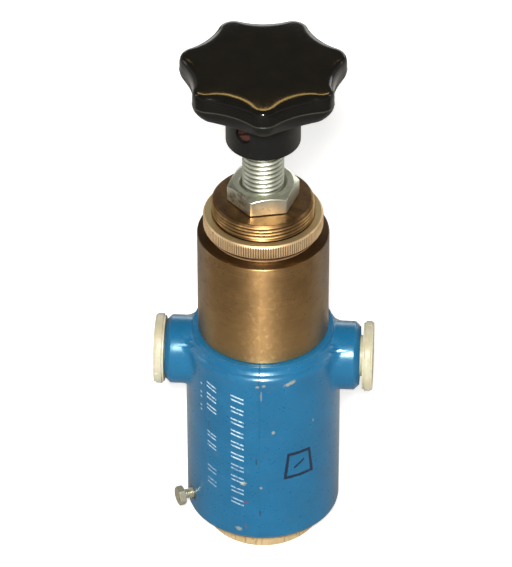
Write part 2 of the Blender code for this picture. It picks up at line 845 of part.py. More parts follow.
def plate_retaining_ring():
    """An open snap ring in the groove at the top of the stem."""
    steps = 14
    gap = math.radians(28)
    sections = []
    for i in range(steps + 1):
        angle = gap + (2 * math.pi - 2 * gap) * i / steps
        for radius, z in ((3.7, 122.4), (6.2, 122.4), (6.2, 123.0), (3.7, 123.0)):
            sections.append((radius * math.cos(angle), radius * math.sin(angle), z))
    faces = []
    for i in range(steps):
        for k in range(4):
            n = (k + 1) % 4
            a, b = 4 * i, 4 * (i + 1)
            faces.append((a + k, a + n, b + n, b + k))
    faces.append((3, 2, 1, 0))
    faces.append(tuple(4 * steps + k for k in range(4)))
    solid("plate_retaining_ring", sections, faces, "spring_steel")


def compensator_piston():
    profile = [
        (PISTON_ORIFICE_R, PISTON_Z1),
        (PISTON_ORIFICE_R, PISTON_CROWN_Z),
        (PLUG_CUP_R, PISTON_CROWN_Z),
        (PLUG_CUP_R, PISTON_Z0),
        (PISTON_R, PISTON_Z0),
        (PISTON_R, 41.0),
        (10.9, 41.0),
        (10.9, 43.2),
        (PISTON_R, 43.2),
        (PISTON_R, PISTON_Z1),
    ]
    lathe("compensator_piston", profile, "bright_steel", 24, closed=True)
    o_ring("piston_seal", 11.95, 1.4, 42.1)


def springs():
    coil_spring(
        "return_spring",
        RETURN_SPRING_R,
        RETURN_SPRING_WIRE,
        RETURN_SPRING_TURNS,
        SPRING_FLOOR_Z + CLEAR,
        SPRING_PLATE_Z0 - CLEAR,
        12,
    )
    coil_spring(
        "compensator_spring",
        COMP_SPRING_R,
        COMP_SPRING_WIRE,
        COMP_SPRING_TURNS,
        PLUG_CUP_FLOOR_Z + CLEAR,
        PISTON_CROWN_Z - CLEAR,
        10,
    )


def build():
    clear_scene()
    valve_body()
    bottom_plug()
    spring_bonnet()
    bonnet_cap()
    lock_ring()
    spindle_locknut()
    spindle()
    star_knob()
    knob_insert()
    knob_grub_screw()
    port_plug("inlet_port_plug", -1, INLET_PLUG_GAP)
    port_plug("outlet_port_plug", 1, OUTLET_PLUG_GAP)
    plug_lock_screw()
    seat_ring()
    guide_bush()
    throttle_plunger()
    spring_plate()
    thrust_ball()
    plate_retaining_ring()
    compensator_piston()
    springs()


build()
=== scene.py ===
"""Flow control valve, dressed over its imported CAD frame.

Every piece is drawn in millimetres in the row frame (+Z up along the spindle) and rides on its CAD body.
"""

import json
import math

import bmesh
import bpy
import numpy as np
from mathutils import Matrix, Vector

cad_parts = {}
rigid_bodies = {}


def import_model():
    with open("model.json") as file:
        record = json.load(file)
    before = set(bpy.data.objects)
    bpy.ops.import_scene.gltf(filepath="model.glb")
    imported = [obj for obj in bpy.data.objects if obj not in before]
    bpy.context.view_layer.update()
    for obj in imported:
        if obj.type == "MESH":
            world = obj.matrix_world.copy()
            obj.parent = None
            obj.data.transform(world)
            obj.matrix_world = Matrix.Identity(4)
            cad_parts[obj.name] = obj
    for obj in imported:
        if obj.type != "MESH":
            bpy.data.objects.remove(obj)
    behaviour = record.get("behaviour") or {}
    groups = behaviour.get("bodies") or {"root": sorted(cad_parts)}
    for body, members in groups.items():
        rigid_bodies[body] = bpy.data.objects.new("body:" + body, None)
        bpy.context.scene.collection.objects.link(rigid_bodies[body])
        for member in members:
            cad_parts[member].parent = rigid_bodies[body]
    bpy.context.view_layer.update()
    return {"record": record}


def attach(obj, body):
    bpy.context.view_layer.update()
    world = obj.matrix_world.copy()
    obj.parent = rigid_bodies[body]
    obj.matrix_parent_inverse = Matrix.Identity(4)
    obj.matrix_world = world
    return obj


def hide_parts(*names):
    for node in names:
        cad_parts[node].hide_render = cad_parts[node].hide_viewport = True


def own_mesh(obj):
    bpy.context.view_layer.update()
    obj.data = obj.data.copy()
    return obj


MM = 0.001
TAU = 2 * math.pi

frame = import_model()

BODY_OF = {
    node: body
    for body, members in frame["record"]["behaviour"]["bodies"].items()
    for node in members
}

# Valve body
BODY_R = 29.75
BODY_TOP_Z = 94.8
BODY_BOTTOM_Z = 10.8
BODY_COLUMNS = 240
SHOULDER_R = 28.15
SHOULDER_Z = 87.9
PORT_Z = 80.6
BOSS_R = 13.25
BOSS_FACE_X = 37.4
BOSS_FILLET = 1.9
# The gap in the body wall that a boss grows from
PATCH_HALF_COLUMNS = 25
PATCH_BOTTOM_Z = 60.0

# Small screws and their holes
LOCK_SCREW_AZ = 205.0
LOCK_SCREW_Z = 18.4
LOCK_SCREW_HOLE_R = 2.3
GRUB_AZ = 240.5
GRUB_Z = 192.0
GRUB_HOLE_R = 3.2

# Cap, lock ring, spindle and locknut
CAP_CORE_R = 18.4
CAP_CREST_R = 19.3
CAP_THREAD_Z = (148.3, 155.25)
RING_TEETH = 150
RING_TOOTH_DEPTH = 0.35
SPINDLE_CORE_R = 6.9
SPINDLE_CREST_R = 7.9
SPINDLE_THREAD_Z = (156.9, 182.2)
NUT_FLATS = 24.0
NUT_CORNER_R = 13.72
NUT_CORNER_AZ = 12.6

# Star knob
KNOB_LOBES = 7
KNOB_LOBE_AZ = 273.5
KNOB_PER_LOBE = 28
KNOB_COUNT = KNOB_LOBES * KNOB_PER_LOBE
KNOB_RIM_Z = 203.5
KNOB_LOWER_EDGE_Z = 203.85
KNOB_PARTING_Z = 210.0
# Outlines: distance of a lobe's centre, its radius, distance of a valley
KNOB_LOWER_EDGE = (23.05, 5.05, 25.25)
KNOB_PARTING = (25.5, 6.0, 27.2)
KNOB_TOP_EDGE = (27.1, 0.8, 18.8)
KNOB_BAND = 0.22
KNOB_RISE = 6.9
KNOB_DROOP = 0.0058
KNOB_FULLNESS = 4.4


# Mesh helpers, in millimetres


def softened(points, steps=3):
    """A polyline with its (a, b, fillet) corners rounded; plain (a, b) points stay sharp."""
    out = []
    for i, point in enumerate(points):
        fillet = point[2] if len(point) > 2 else 0.0
        here = np.array(point[:2], float)
        if not fillet or i in (0, len(points) - 1):
            out.append(tuple(here))
            continue
        back = np.array(points[i - 1][:2], float) - here
        ahead = np.array(points[i + 1][:2], float) - here
        reach_back, reach_ahead = np.linalg.norm(back), np.linalg.norm(ahead)
        cosine = np.dot(back, ahead) / (reach_back * reach_ahead)
        half = 0.5 * math.acos(max(-1.0, min(1.0, cosine)))
        cut = min(fillet / math.tan(half), 0.46 * reach_back, 0.46 * reach_ahead)
        start = here + back / reach_back * cut
        end = here + ahead / reach_ahead * cut
        for k in range(steps + 1):
            t = k / steps
            out.append(tuple((1 - t) ** 2 * start + 2 * t * (1 - t) * here + t * t * end))
    return out


def ring(radius, z, count, phase=0.0):
    angles = phase + TAU * np.arange(count) / count
    return np.stack([radius * np.cos(angles), radius * np.sin(angles), np.full(count, z)], axis=1)


class Sheet:
    """Points and faces gathered for one mesh; points that coincide are joined at the end."""

    def __init__(self):
        self.points = []
        self.faces = []

    def add(self, points):
        """Adds points and gives back their numbers."""
        start = len(self.points)
        self.points.extend(map(tuple, points))
        return range(start, len(self.points))

    def bands(self, rows, wrap=True, skip=None):
        """Quads between rows of point numbers, without those for which skip(row, column) is true."""
        count = len(rows[0])
        for row, (a, b) in enumerate(zip(rows, rows[1:])):
            for i in range(count if wrap else count - 1):
                if skip and skip(row, i):
                    continue
                j = (i + 1) % count
                self.faces.append((a[i], a[j], b[j], b[i]))

    def loft(self, rings, closed=False, capped=False):
        """Quads between rings of equal length; capped adds a face at either end."""
        rows = [self.add(r) for r in rings]
        self.bands(rows + rows[:1] if closed else rows)
        if capped:
            self.faces += [tuple(rows[0]), tuple(rows[-1])]

    def thread(self, core, crest, pitch, z0, z1, segments):
        """A right-hand V thread. Its ends run out on small cones, down to a circle of the core's radius."""
        knots = ((0.04, 0.0), (0.40, 0.93), (0.46, 1.0), (0.54, 1.0), (0.60, 0.93), (0.96, 0.0))
        rows = []
        for turn in range(-2, int((z1 - z0) / pitch) + 2):
            for share, height in knots:
                row = []
                for i in range(segments + 1):
                    z = z0 + pitch * (turn + share + i / segments)
                    z = min(max(z, z0), z1)
                    room = core + min(z - z0, z1 - z)
                    radius = max(core, min(core + (crest - core) * height, room))
                    angle = TAU * i / segments
                    row.append((radius * math.cos(angle), radius * math.sin(angle), z))
                rows.append(self.add(row))
        self.bands(rows, wrap=False)


def lathe(profile, count=128, closed=False, phase=0.0):
    """A surface of revolution about Z from (radius, z[, fillet]) points."""
    sheet = Sheet()
    sheet.loft([ring(r, z, count, phase) for r, z in softened(profile)], closed)
    return sheet


def aimed(sheet, origin, direction):
    """The sheet with its origin moved to a point and its +Z turned along a direction."""
    turn = Vector(direction).to_track_quat("Z", "Y").to_matrix()
    shift = Vector(origin)
    sheet.points = [tuple(turn @ Vector(p) + shift) for p in sheet.points]
    return sheet


def radial(azimuth):
    angle = math.radians(azimuth)
    return Vector((math.cos(angle), math.sin(angle), 0.0))


def mesh_object(name, sheet, sharp=32.0):
    """A welded, outward-facing object with smooth shading up to the sharp angle."""
    mesh = bpy.data.meshes.new(name)
    mesh.from_pydata([(x * MM, y * MM, z * MM) for x, y, z in sheet.points], [], sheet.faces)
    work = bmesh.new()
    work.from_mesh(mesh)
    bmesh.ops.remove_doubles(work, verts=work.verts, dist=2e-7)
    bmesh.ops.dissolve_degenerate(work, edges=work.edges, dist=1e-8)
    bmesh.ops.recalc_face_normals(work, faces=work.faces)
    work.to_mesh(mesh)
    work.free()
    shade(mesh, sharp)
    obj = bpy.data.objects.new(name, mesh)
    bpy.context.scene.collection.objects.link(obj)
    return obj


def shade(mesh, sharp):
    for polygon in mesh.polygons:
        polygon.use_smooth = True
    mesh.set_sharp_from_angle(angle=math.radians(sharp))


def cut(obj, *sheets, sharp=32.0):
    """Cuts the sheets' solids out of the object for good."""
    for i, sheet in enumerate(sheets):
        tool = mesh_object(f"{obj.name}_tool_{i}", sheet)
        modifier = obj.modifiers.new("cut", "BOOLEAN")
        modifier.operation = "DIFFERENCE"
        modifier.solver = "EXACT"
        modifier.object = tool
        graph = bpy.context.evaluated_depsgraph_get()
        done = bpy.data.meshes.new_from_object(obj.evaluated_get(graph), depsgraph=graph)
        obj.modifiers.remove(modifier)
        obj.data = done
        bpy.data.objects.remove(tool)
    shade(obj.data, sharp)


def rod(radius, z0, z1, count=64):
    return lathe([(0, z0), (radius, z0), (radius, z1), (0, z1)], count, phase=0.02)


# Materials


class Nodes:
    """Shader nodes made and joined by short calls. A colour may leave out its alpha."""

    def __init__(self, tree):
        self.tree = tree

    def node(self, kind, **given):
        made = self.tree.nodes.new(kind)
        for key, value in given.items():
            if key[0] == "i" and key[1:].isdigit():
                self.feed(made.inputs[int(key[1:])], value)
            elif key in made.inputs:
                self.feed(made.inputs[key], value)
            else:
                setattr(made, key, value)
        return made

    def feed(self, socket, value):
        if isinstance(value, bpy.types.NodeSocket):
            self.tree.links.new(value, socket)
        elif socket.type == "RGBA" and len(value) == 3:
            socket.default_value = (*value, 1.0)
        else:
            socket.default_value = value

    def vector(self, operation, a, b):
        return self.node("ShaderNodeVectorMath", operation=operation, i0=a, i1=b).outputs[0]

    def math(self, operation, *values):
        given = {f"i{k}": value for k, value in enumerate(values)}
        return self.node("ShaderNodeMath", operation=operation, **given).outputs[0]

    def span(self, value, low, high, start=0.0, end=1.0, smooth=True):
        """value between low and high carried over to start and end, and held beyond."""
        made = self.node("ShaderNodeMapRange", i0=value, i1=low, i2=high, i3=start, i4=end)
        made.interpolation_type = "SMOOTHSTEP" if smooth else "LINEAR"
        return made.outputs[0]

    def mix(self, share, a, b):
        return self.node("ShaderNodeMix", data_type="RGBA", i0=share, i6=a, i7=b).outputs[2]

    def both(self, *masks):
        """1 where every mask is 1."""
        out = masks[0]
        for mask in masks[1:]:
            out = self.math("MULTIPLY", out, mask)
        return out

    def near(self, value, centre, half, soft=0.15):
        """1 where value lies within half of centre, with a soft edge."""
        away = self.math("ABSOLUTE", self.math("SUBTRACT", value, centre))
        return self.span(away, half - soft, half + soft, 1.0, 0.0)


class Finish(Nodes):
    """One procedural material. Lengths in its patterns are millimetres in the row frame."""

    def __init__(self, name):
        self.material = bpy.data.materials.new(name)
        self.material.use_nodes = True
        super().__init__(self.material.node_tree)
        self.shader = self.tree.nodes["Principled BSDF"]
        place = self.node("ShaderNodeTexCoord").outputs["Object"]
        self.place = self.vector("MULTIPLY", place, (1000.0, 1000.0, 1000.0))
        split = self.node("ShaderNodeSeparateXYZ", Vector=self.place)
        self.x, self.y, self.z = split.outputs
        flat = self.vector("MULTIPLY", self.place, (1.0, 1.0, 0.0))
        self.radius = self.node("ShaderNodeVectorMath", operation="LENGTH", i0=flat).outputs["Value"]
        self.angle = self.math("ARCTAN2", self.y, self.x)

    def noise(self, scale, detail=3.0, rough=0.55, place=None, warp=0.0):
        where = self.place if place is None else place
        made = self.node(
            "ShaderNodeTexNoise", Vector=where, Scale=scale, Detail=detail, Roughness=rough, Distortion=warp
        )
        return made.outputs[0]

    def turned(self, lines):
        """Coordinates that run round the axis, so that noise reads as lathe marks."""
        place = self.node(
            "ShaderNodeCombineXYZ",
            i0=self.math("MULTIPLY", self.radius, lines),
            i1=self.math("MULTIPLY", self.angle, 1.3),
            i2=self.math("MULTIPLY", self.z, lines),
        )
        return place.outputs[0]

    def edges(self, low=0.52, high=0.62):
        """1 on convex edges or, with low above high, in creases."""
        return self.span(self.node("ShaderNodeNewGeometry").outputs["Pointiness"], low, high)

    def bump(self, *layers):
        """Bump from (height, distance in millimetres) layers."""
        given = {}
        for height, distance in layers:
            made = self.node("ShaderNodeBump", Height=height, Distance=distance * MM, Strength=1.0, **given)
            given = {"Normal": made.outputs[0]}
        self.feed(self.shader.inputs["Normal"], given["Normal"])

    def over(self, mask, share, colour):
        """Lays a colour over the base colour so far, where the mask is 1."""
        below = self.shader.inputs["Base Color"].links[0].from_socket
        self.set(Base_Color=self.mix(self.both(mask, share), below, colour))

    def set(self, **inputs):
        for key, value in inputs.items():
            self.feed(self.shader.inputs[key.replace("_", " ")], value)
        return self


def metal(
    name, light, dark, stain_and_crease_shade, rough=(0.25, 0.42), lines=0.004, spots=0.0, turned=True,
    metallic=1.0, crease_shade=0.0,
):
    """Machined metal: lathe marks, a mottled tone, darker stains and brighter worn edges, and where asked
    painted shade darkening the creases.
    """
    f = Finish(name)
    grain = f.turned(4.0) if turned else f.vector("MULTIPLY", f.place, (5.0, 5.0, 5.0))
    marks = f.noise(1.0, 4.0, 0.7, place=grain)
    mottle = f.noise(0.16, 4.0, 0.6)
    grime = f.noise(0.45, 5.0, 0.65, warp=0.6)
    f.set(Base_Color=f.mix(f.span(mottle, 0.35, 0.68), dark, light))
    f.over(f.span(marks, 0.42, 0.75), 0.35, dark)
    f.over(f.span(grime, 0.56, 0.74), 0.75, stain_and_crease_shade)
    if spots:
        f.over(f.span(f.noise(1.9, 2.0, 0.5), 0.70, 0.76), spots, stain_and_crease_shade)
    # Creases darkened in the stain colour: painted shade
    if crease_shade:
        f.over(f.edges(0.49, 0.40), crease_shade, stain_and_crease_shade)
    f.over(f.edges(), 0.6, tuple(min(1.0, c * 1.25) for c in light))
    roughness = f.span(marks, 0.3, 0.7, rough[0], rough[1], smooth=False)
    roughness = f.math("ADD", roughness, f.span(grime, 0.5, 0.75, 0.0, 0.18))
    f.set(Metallic=metallic, Roughness=roughness)
    f.bump((marks, lines), (grime, 0.03))
    return f


# Paint colours, linear
PAINT_LIGHT = (0.009, 0.142, 0.305)
PAINT_DARK = (0.008, 0.122, 0.265)
PAINT_DUST = (0.08, 0.17, 0.25)
PAINT_SEAM = (0.012, 0.065, 0.15)
PRINT_WHITE = (0.62, 0.78, 0.88)
INK = (0.010, 0.010, 0.030)
SOOT = (0.012, 0.02, 0.025)
BORE_GREY = (0.08, 0.08, 0.075)
CHIP_TONES = {"bare": (0.34, 0.34, 0.27), "rust": (0.16, 0.06, 0.06), "dirt": (0.02, 0.05, 0.09)}
# Arc position from the front, height, half sizes, lean, (tone, strength)
CHIPS = [
    (12.2, 87.7, 2.3, 0.8, 0.25, ("bare", 0.9)),
    (-0.4, 87.3, 0.7, 0.8, 0.0, ("bare", 0.8)),
    (2.0, 87.9, 0.8, 0.6, 0.0, ("bare", 0.7)),
    (1.0, 83.0, 0.35, 2.4, 0.0, ("bare", 0.45)),
    (5.6, 64.6, 0.65, 0.8, 0.0, ("bare", 0.8)),
    (22.5, 65.5, 0.5, 0.7, 0.0, ("bare", 0.6)),
    (-5.9, 38.4, 1.2, 0.9, 0.2, ("bare", 0.95)),
    (1.0, 36.7, 0.6, 0.6, 0.0, ("bare", 0.75)),
    (-4.9, 28.9, 0.8, 0.8, 0.0, ("rust", 0.8)),
    (-7.9, 14.8, 1.4, 0.9, 0.0, ("bare", 0.7)),
    (-5.0, 16.5, 0.5, 1.3, 0.0, ("rust", 0.5)),
    (-0.8, 50.0, 0.4, 1.6, 0.0, ("dirt", 0.8)),
    (0.6, 24.0, 0.45, 1.5, 0.0, ("dirt", 0.8)),
    (-21.5, 62.0, 0.5, 1.8, 0.0, ("dirt", 0.5)),
]
# Arc position, half length, lowest and highest z, pitch, first z, strength
DASHES = [
    (-8.4, 2.6, 48.0, 83.0, 5.7, 26.6, 0.95),
    (-8.4, 2.6, 25.0, 47.0, 5.7, 26.6, 0.60),
    (-19.9, 2.4, 68.0, 84.5, 5.4, 68.6, 0.9),
    (-19.9, 2.2, 50.0, 60.0, 5.0, 50.4, 0.75),
    (-19.9, 2.2, 31.5, 43.5, 6.2, 31.6, 0.42),
    (-25.6, 0.5, 66.0, 80.5, 6.4, 66.0, 0.6),
]
DASH_SLANT = 0.24
# Arc position, height, half width, half height
INK_BOX = (16.2, 46.6, 5.4, 5.9)


def seam_mask(f, across):
    """The casting seam down the front, with dark smudges where dirt sits in it."""
    wobble = f.math("MULTIPLY_ADD", f.noise(0.12, 2.0), 1.2, -0.35)
    line = f.near(f.math("SUBTRACT", across, wobble), 0.0, 0.16, 0.14)
    return f.both(line, f.span(f.noise(0.25, 3.0), 0.38, 0.6, 0.2, 0.8), f.span(f.z, 83.0, 88.0, 0.55, 1.2))


def add_chips(f, across):
    ragged = f.math("MULTIPLY_ADD", f.noise(1.3, 4.0, 0.7), 2.6, -1.3)
    for u, z, half_u, half_z, tilt, (tone, strength) in CHIPS:
        off = f.math("SUBTRACT", across, u)
        du = f.math("DIVIDE", off, half_u)
        leaning = f.math("MULTIPLY_ADD", off, -tilt, f.math("SUBTRACT", f.z, z))
        dz = f.math("DIVIDE", leaning, half_z)
        far = f.math("SQRT", f.math("ADD", f.math("MULTIPLY", du, du), f.math("MULTIPLY", dz, dz)))
        chip = f.span(f.math("ADD", far, ragged), 0.75, 1.15, 1.0, 0.0)
        f.over(chip, strength, CHIP_TONES[tone])
    # Small bare specks all over
    f.over(f.span(f.noise(1.1, 2.0, 0.5), 0.76, 0.785), 0.5, CHIP_TONES["bare"])


def add_dashes(f, across, worn):
    """Rows of worn white dashes, two to each pitch."""
    for u, half_u, z0, z1, pitch, first, strength in DASHES:
        slanted = f.math("MULTIPLY_ADD", f.math("SUBTRACT", across, u), DASH_SLANT, f.z)
        turn = f.math("FRACT", f.math("DIVIDE", f.math("SUBTRACT", slanted, first), pitch))
        bars = f.near(f.math("ABSOLUTE", f.math("SUBTRACT", turn, 0.34)), 0.17, 0.058, 0.03)
        rows = f.near(slanted, 0.5 * (z0 + z1), 0.5 * (z1 - z0), 0.1)
        mask = f.both(bars, f.near(across, u, half_u, 0.12), rows, f.span(worn, 0.36, 0.52))
        f.over(mask, strength, PRINT_WHITE)


def ink_mask(f, across, worn):
    """A leaning box drawn in ink, empty but for a tick."""
    u, z, half_u, half_z = INK_BOX
    du = f.math("SUBTRACT", across, u)
    dz = f.math("SUBTRACT", f.z, z)
    side = f.math("DIVIDE", f.math("ABSOLUTE", du), f.math("MULTIPLY_ADD", dz, -0.12, half_u))
    rim = f.math("MAXIMUM", side, f.math("DIVIDE", f.math("ABSOLUTE", dz), half_z))
    rim = f.math("MULTIPLY_ADD", f.noise(0.5, 3.0), 0.1, rim)
    box = f.near(rim, 1.0, 0.115, 0.03)
    tick = f.both(f.near(f.math("MULTIPLY_ADD", du, -0.7, dz), 0.0, 0.6, 0.12), f.near(du, 0.0, 2.1, 0.15))
    return f.both(f.math("MAXIMUM", box, tick), f.span(worn, 0.28, 0.42, 0.35, 0.92))


def soot_mask(f, worn):
    """Dirt round the hole of the lock screw."""
    hole = radial(LOCK_SCREW_AZ) * BODY_R + Vector((0, 0, LOCK_SCREW_Z))
    off = f.vector("SUBTRACT", f.place, tuple(hole))
    reach = f.node("ShaderNodeVectorMath", operation="LENGTH", i0=off).outputs["Value"]
    return f.span(f.math("MULTIPLY_ADD", worn, 2.4, reach), 3.4, 5.4, 0.9, 0.0)


def blue_paint():
    f = Finish("blue_paint_worn")
    across = f.math("MULTIPLY", f.math("ADD", f.angle, math.pi / 2), BODY_R)
    fine = f.noise(0.9, 4.0, 0.6)
    dust = f.noise(0.35, 5.0, 0.7, warp=0.8)
    worn = f.noise(1.1, 4.0, 0.7)
    f.set(Base_Color=f.mix(f.span(f.noise(0.07, 5.0, 0.6), 0.32, 0.7), PAINT_DARK, PAINT_LIGHT))
    f.over(f.span(dust, 0.5, 0.8), 0.28, PAINT_DUST)
    seam = seam_mask(f, across)
    f.over(seam, 1.0, PAINT_SEAM)
    add_chips(f, across)
    add_dashes(f, across, worn)
    f.over(ink_mask(f, across, worn), 1.0, INK)
    f.over(soot_mask(f, worn), 1.0, SOOT)
    # Bare metal at the lower edge, grey bores
    bare = f.span(f.math("MULTIPLY_ADD", fine, 0.9, f.z), 11.75, 12.05, 1.0, 0.0)
    f.over(bare, 1.0, CHIP_TONES["bare"])
    f.over(f.span(f.radius, 24.4, 24.8, 1.0, 0.0), 0.85, BORE_GREY)
    rough = f.span(fine, 0.3, 0.7, 0.26, 0.36, smooth=False)
    rough = f.math("ADD", rough, f.span(dust, 0.5, 0.8, 0.0, 0.15))
    f.set(Roughness=rough, Metallic=f.both(bare, 0.8))
    # The rounded shoulder shines more than the rest
    shoulder = f.both(f.near(f.z, 89.3, 3.0, 1.2), f.span(f.radius, 30.0, 30.6, 1.0, 0.0))
    f.set(Coat_Weight=f.math("MULTIPLY_ADD", shoulder, 0.65, 0.35), Coat_Roughness=0.2)
    f.set(Specular_IOR_Level=0.8, Specular_Tint=(0.5, 0.88, 1.0))
    f.bump((fine, 0.035), (seam, -0.08))
    return f


def black_knob():
    f = Finish("black_phenolic_gloss")
    cloud = f.noise(0.12, 4.0, 0.6)
    fine = f.noise(1.6, 3.0, 0.6)
    f.set(Base_Color=f.mix(cloud, (0.0035, 0.0035, 0.003), (0.007, 0.0065, 0.005)))
    f.over(f.span(f.noise(2.6, 2.0, 0.5), 0.72, 0.80), 0.10, (0.10, 0.10, 0.085))
    matt = f.span(f.z, KNOB_PARTING_Z - 0.45, KNOB_PARTING_Z - 0.25, 1.0, 0.0)
    f.over(matt, 0.8, (0.006, 0.007, 0.007))
    f.over(f.near(f.z, KNOB_PARTING_Z, 0.22, 0.1), 0.6, (0.07, 0.075, 0.055))
    rust = f.both(f.span(f.z, 200.0, 196.0), f.span(f.noise(0.5, 5.0, 0.7), 0.56, 0.72))
    f.over(rust, 0.35, (0.05, 0.03, 0.022))
    gloss = f.span(cloud, 0.3, 0.7, 0.12, 0.16, smooth=False)
    # The front valley's nose is a little duller, so that its highlight spreads
    nose = f.both(f.near(f.x, 1.6, 3.0, 2.0), f.span(f.y, -21.0, -25.0), f.span(f.z, 215.6, 214.4))
    gloss = f.math("MULTIPLY_ADD", nose, 0.22, gloss)
    rough = f.math("MAXIMUM", gloss, f.math("MULTIPLY", matt, 0.5))
    f.set(Roughness=rough, IOR=1.43)
    f.bump((cloud, 0.06), (fine, 0.001))
    return f


def ivory_plastic():
    f = Finish("ivory_plastic_stained")
    cloud = f.noise(0.2, 4.0, 0.6)
    fine = f.noise(1.4, 4.0, 0.65)
    f.set(Base_Color=f.mix(f.span(cloud, 0.3, 0.7), (0.52, 0.475, 0.31), (0.61, 0.58, 0.44)))
    f.over(f.span(f.noise(1.0, 3.0, 0.6), 0.68, 0.76), 0.6, (0.30, 0.19, 0.08))
    f.over(f.edges(), 0.5, (0.95, 0.93, 0.80))
    f.set(Roughness=f.span(fine, 0.3, 0.7, 0.32, 0.5, smooth=False))
    f.set(Subsurface_Weight=0.25, Subsurface_Scale=0.002)
    f.bump((fine, 0.02), (cloud, 0.1))
    return f


def rubber():
    f = Finish("black_rubber_oiled")
    cloud = f.noise(0.5, 4.0, 0.6)
    fine = f.noise(4.0, 3.0, 0.6)
    colour = f.mix(cloud, (0.010, 0.010, 0.010), (0.03, 0.029, 0.027))
    f.set(Base_Color=colour, Roughness=f.span(fine, 0.3, 0.7, 0.35, 0.65, smooth=False))
    f.bump((fine, 0.02))
    return f


def brushed_bronze():
    f = metal(
        "bronze_satin", (0.67, 0.405, 0.17), (0.53, 0.32, 0.132), (0.20, 0.135, 0.075),
        rough=(0.38, 0.47), lines=0.004, metallic=0.96,
    )
    brushing = f.noise(1.0, 5.0, 0.75, place=f.turned(6.0))
    f.over(f.span(brushing, 0.35, 0.65, 1.0, 0.0), 0.45, (0.24, 0.15, 0.07))
    speck = f.both(f.span(f.noise(1.1, 2.0, 0.5), 0.70, 0.74), f.span(f.noise(0.09, 2.0), 0.45, 0.6))
    f.over(speck, 0.7, (0.55, 0.52, 0.45))
    # Lighter gold towards the bottom of the tube: painted light
    f.over(f.span(f.z, 130.0, 98.0), 0.45, (0.90, 0.58, 0.25))
    # Left and right flanks greyed and darkened: painted shade and reflection at the sides
    f.over(f.span(f.math("ABSOLUTE", f.x), 15.0, 25.0), 0.75, (0.17, 0.15, 0.125))
    # Top face of the tube dark: painted shade
    f.over(f.span(f.z, 139.72, 139.86), 0.93, (0.12, 0.065, 0.026))
    f.set(Anisotropic=0.8, Anisotropic_Rotation=0.25)
    around = f.node("ShaderNodeTangent", direction_type="RADIAL", axis="Z").outputs[0]
    f.feed(f.shader.inputs["Tangent"], around)
    return f


def dark_bronze():
    f = metal(
        "dark_bronze_tarnished", (0.32, 0.18, 0.075), (0.19, 0.105, 0.045), (0.05, 0.034, 0.024),
        rough=(0.30, 0.42), lines=0.006, spots=0.8, crease_shade=0.9,
    )
    # Thread crests lightened to gold: a painted highlight on the crests
    crest = f.both(f.span(f.radius, 18.75, 19.1), f.span(f.noise(0.12, 3.0), 0.35, 0.6, 0.45, 1.0))
    f.over(crest, 0.85, (0.76, 0.47, 0.18))
    return f


def plug_brass():
    f = metal(
        "plug_brass_turned", (1.0, 0.78, 0.47), (0.88, 0.66, 0.36), (0.34, 0.25, 0.13),
        rough=(0.35, 0.5), spots=0.4, metallic=0.55,
    )
    around = f.math("MULTIPLY", f.angle, 20.0)
    upright = f.node("ShaderNodeCombineXYZ", i0=around, i1=f.math("MULTIPLY", f.z, 0.08))
    f.over(f.span(f.noise(1.0, 4.0, 0.7, place=upright.outputs[0]), 0.52, 0.68), 0.7, (0.30, 0.20, 0.08))
    return f


def plated_steel():
    f = metal(
        "zinc_steel_plated", (0.80, 0.82, 0.69), (0.64, 0.66, 0.53), (0.22, 0.19, 0.11),
        rough=(0.28, 0.40), lines=0.004, spots=0.4, turned=False, metallic=0.9, crease_shade=0.85,
    )
    # One front facet of the locknut darkened in patches: painted shade on the facet turned away from the
    # light
    side = f.both(f.near(f.angle, math.radians(-137), 0.55, 0.25), f.span(f.radius, 10.8, 11.6))
    facet_shade_patchiness = f.span(f.noise(0.35, 4.0, 0.65), 0.40, 0.62, 0.25, 0.8)
    f.over(side, facet_shade_patchiness, (0.20, 0.16, 0.09))
    # Darker ring on the spindle at the locknut's mouth: painted shade in the recess
    throat_shade = f.both(f.span(f.radius, 9.4, 8.4), f.span(f.z, 163.4, 162.9), f.span(f.z, 161.0, 161.6))
    f.over(throat_shade, 0.4, (0.10, 0.085, 0.045))
    threads = f.span(f.radius, 8.2, 8.0, 0.0, 0.10)
    # Thread roots on the spindle darkened: painted shade in the grooves
    root = f.both(f.span(f.radius, 7.65, 7.05), f.span(f.radius, 6.6, 6.8), f.span(f.z, 156.8, 157.2))
    f.over(root, 0.8, (0.13, 0.14, 0.115))
    rough = f.shader.inputs["Roughness"].links[0].from_socket
    f.set(Roughness=f.math("ADD", rough, threads))
    return f


def knurled_brass():
    f = metal(
        "ring_brass_knurled", (1.0, 0.72, 0.42), (0.86, 0.60, 0.33), (0.40, 0.25, 0.12),
        rough=(0.34, 0.46), spots=0.3, metallic=0.75,
    )
    # Knurl grooves darkened between the teeth: painted shade in the grooves
    knurl_groove_shade = f.span(f.math("COSINE", f.math("MULTIPLY", f.angle, float(RING_TEETH))), -0.1, 0.8)
    knurl_groove_shade = f.both(knurl_groove_shade, f.near(f.z, 145.7, 2.3, 0.15), f.span(f.radius, 21.9, 22.2))
    f.over(knurl_groove_shade, 0.75, (0.13, 0.07, 0.03))
    # Top face of the ring a darker olive: painted shade on the top
    f.over(f.span(f.z, 148.55, 148.68), 0.85, (0.50, 0.40, 0.19))
    # Neck under the knurl darkened: painted shadow under the knurl's overhang
    f.over(f.both(f.span(f.z, 143.2, 142.6), f.span(f.z, 140.7, 141.2)), 0.9, (0.07, 0.035, 0.015))
    return f


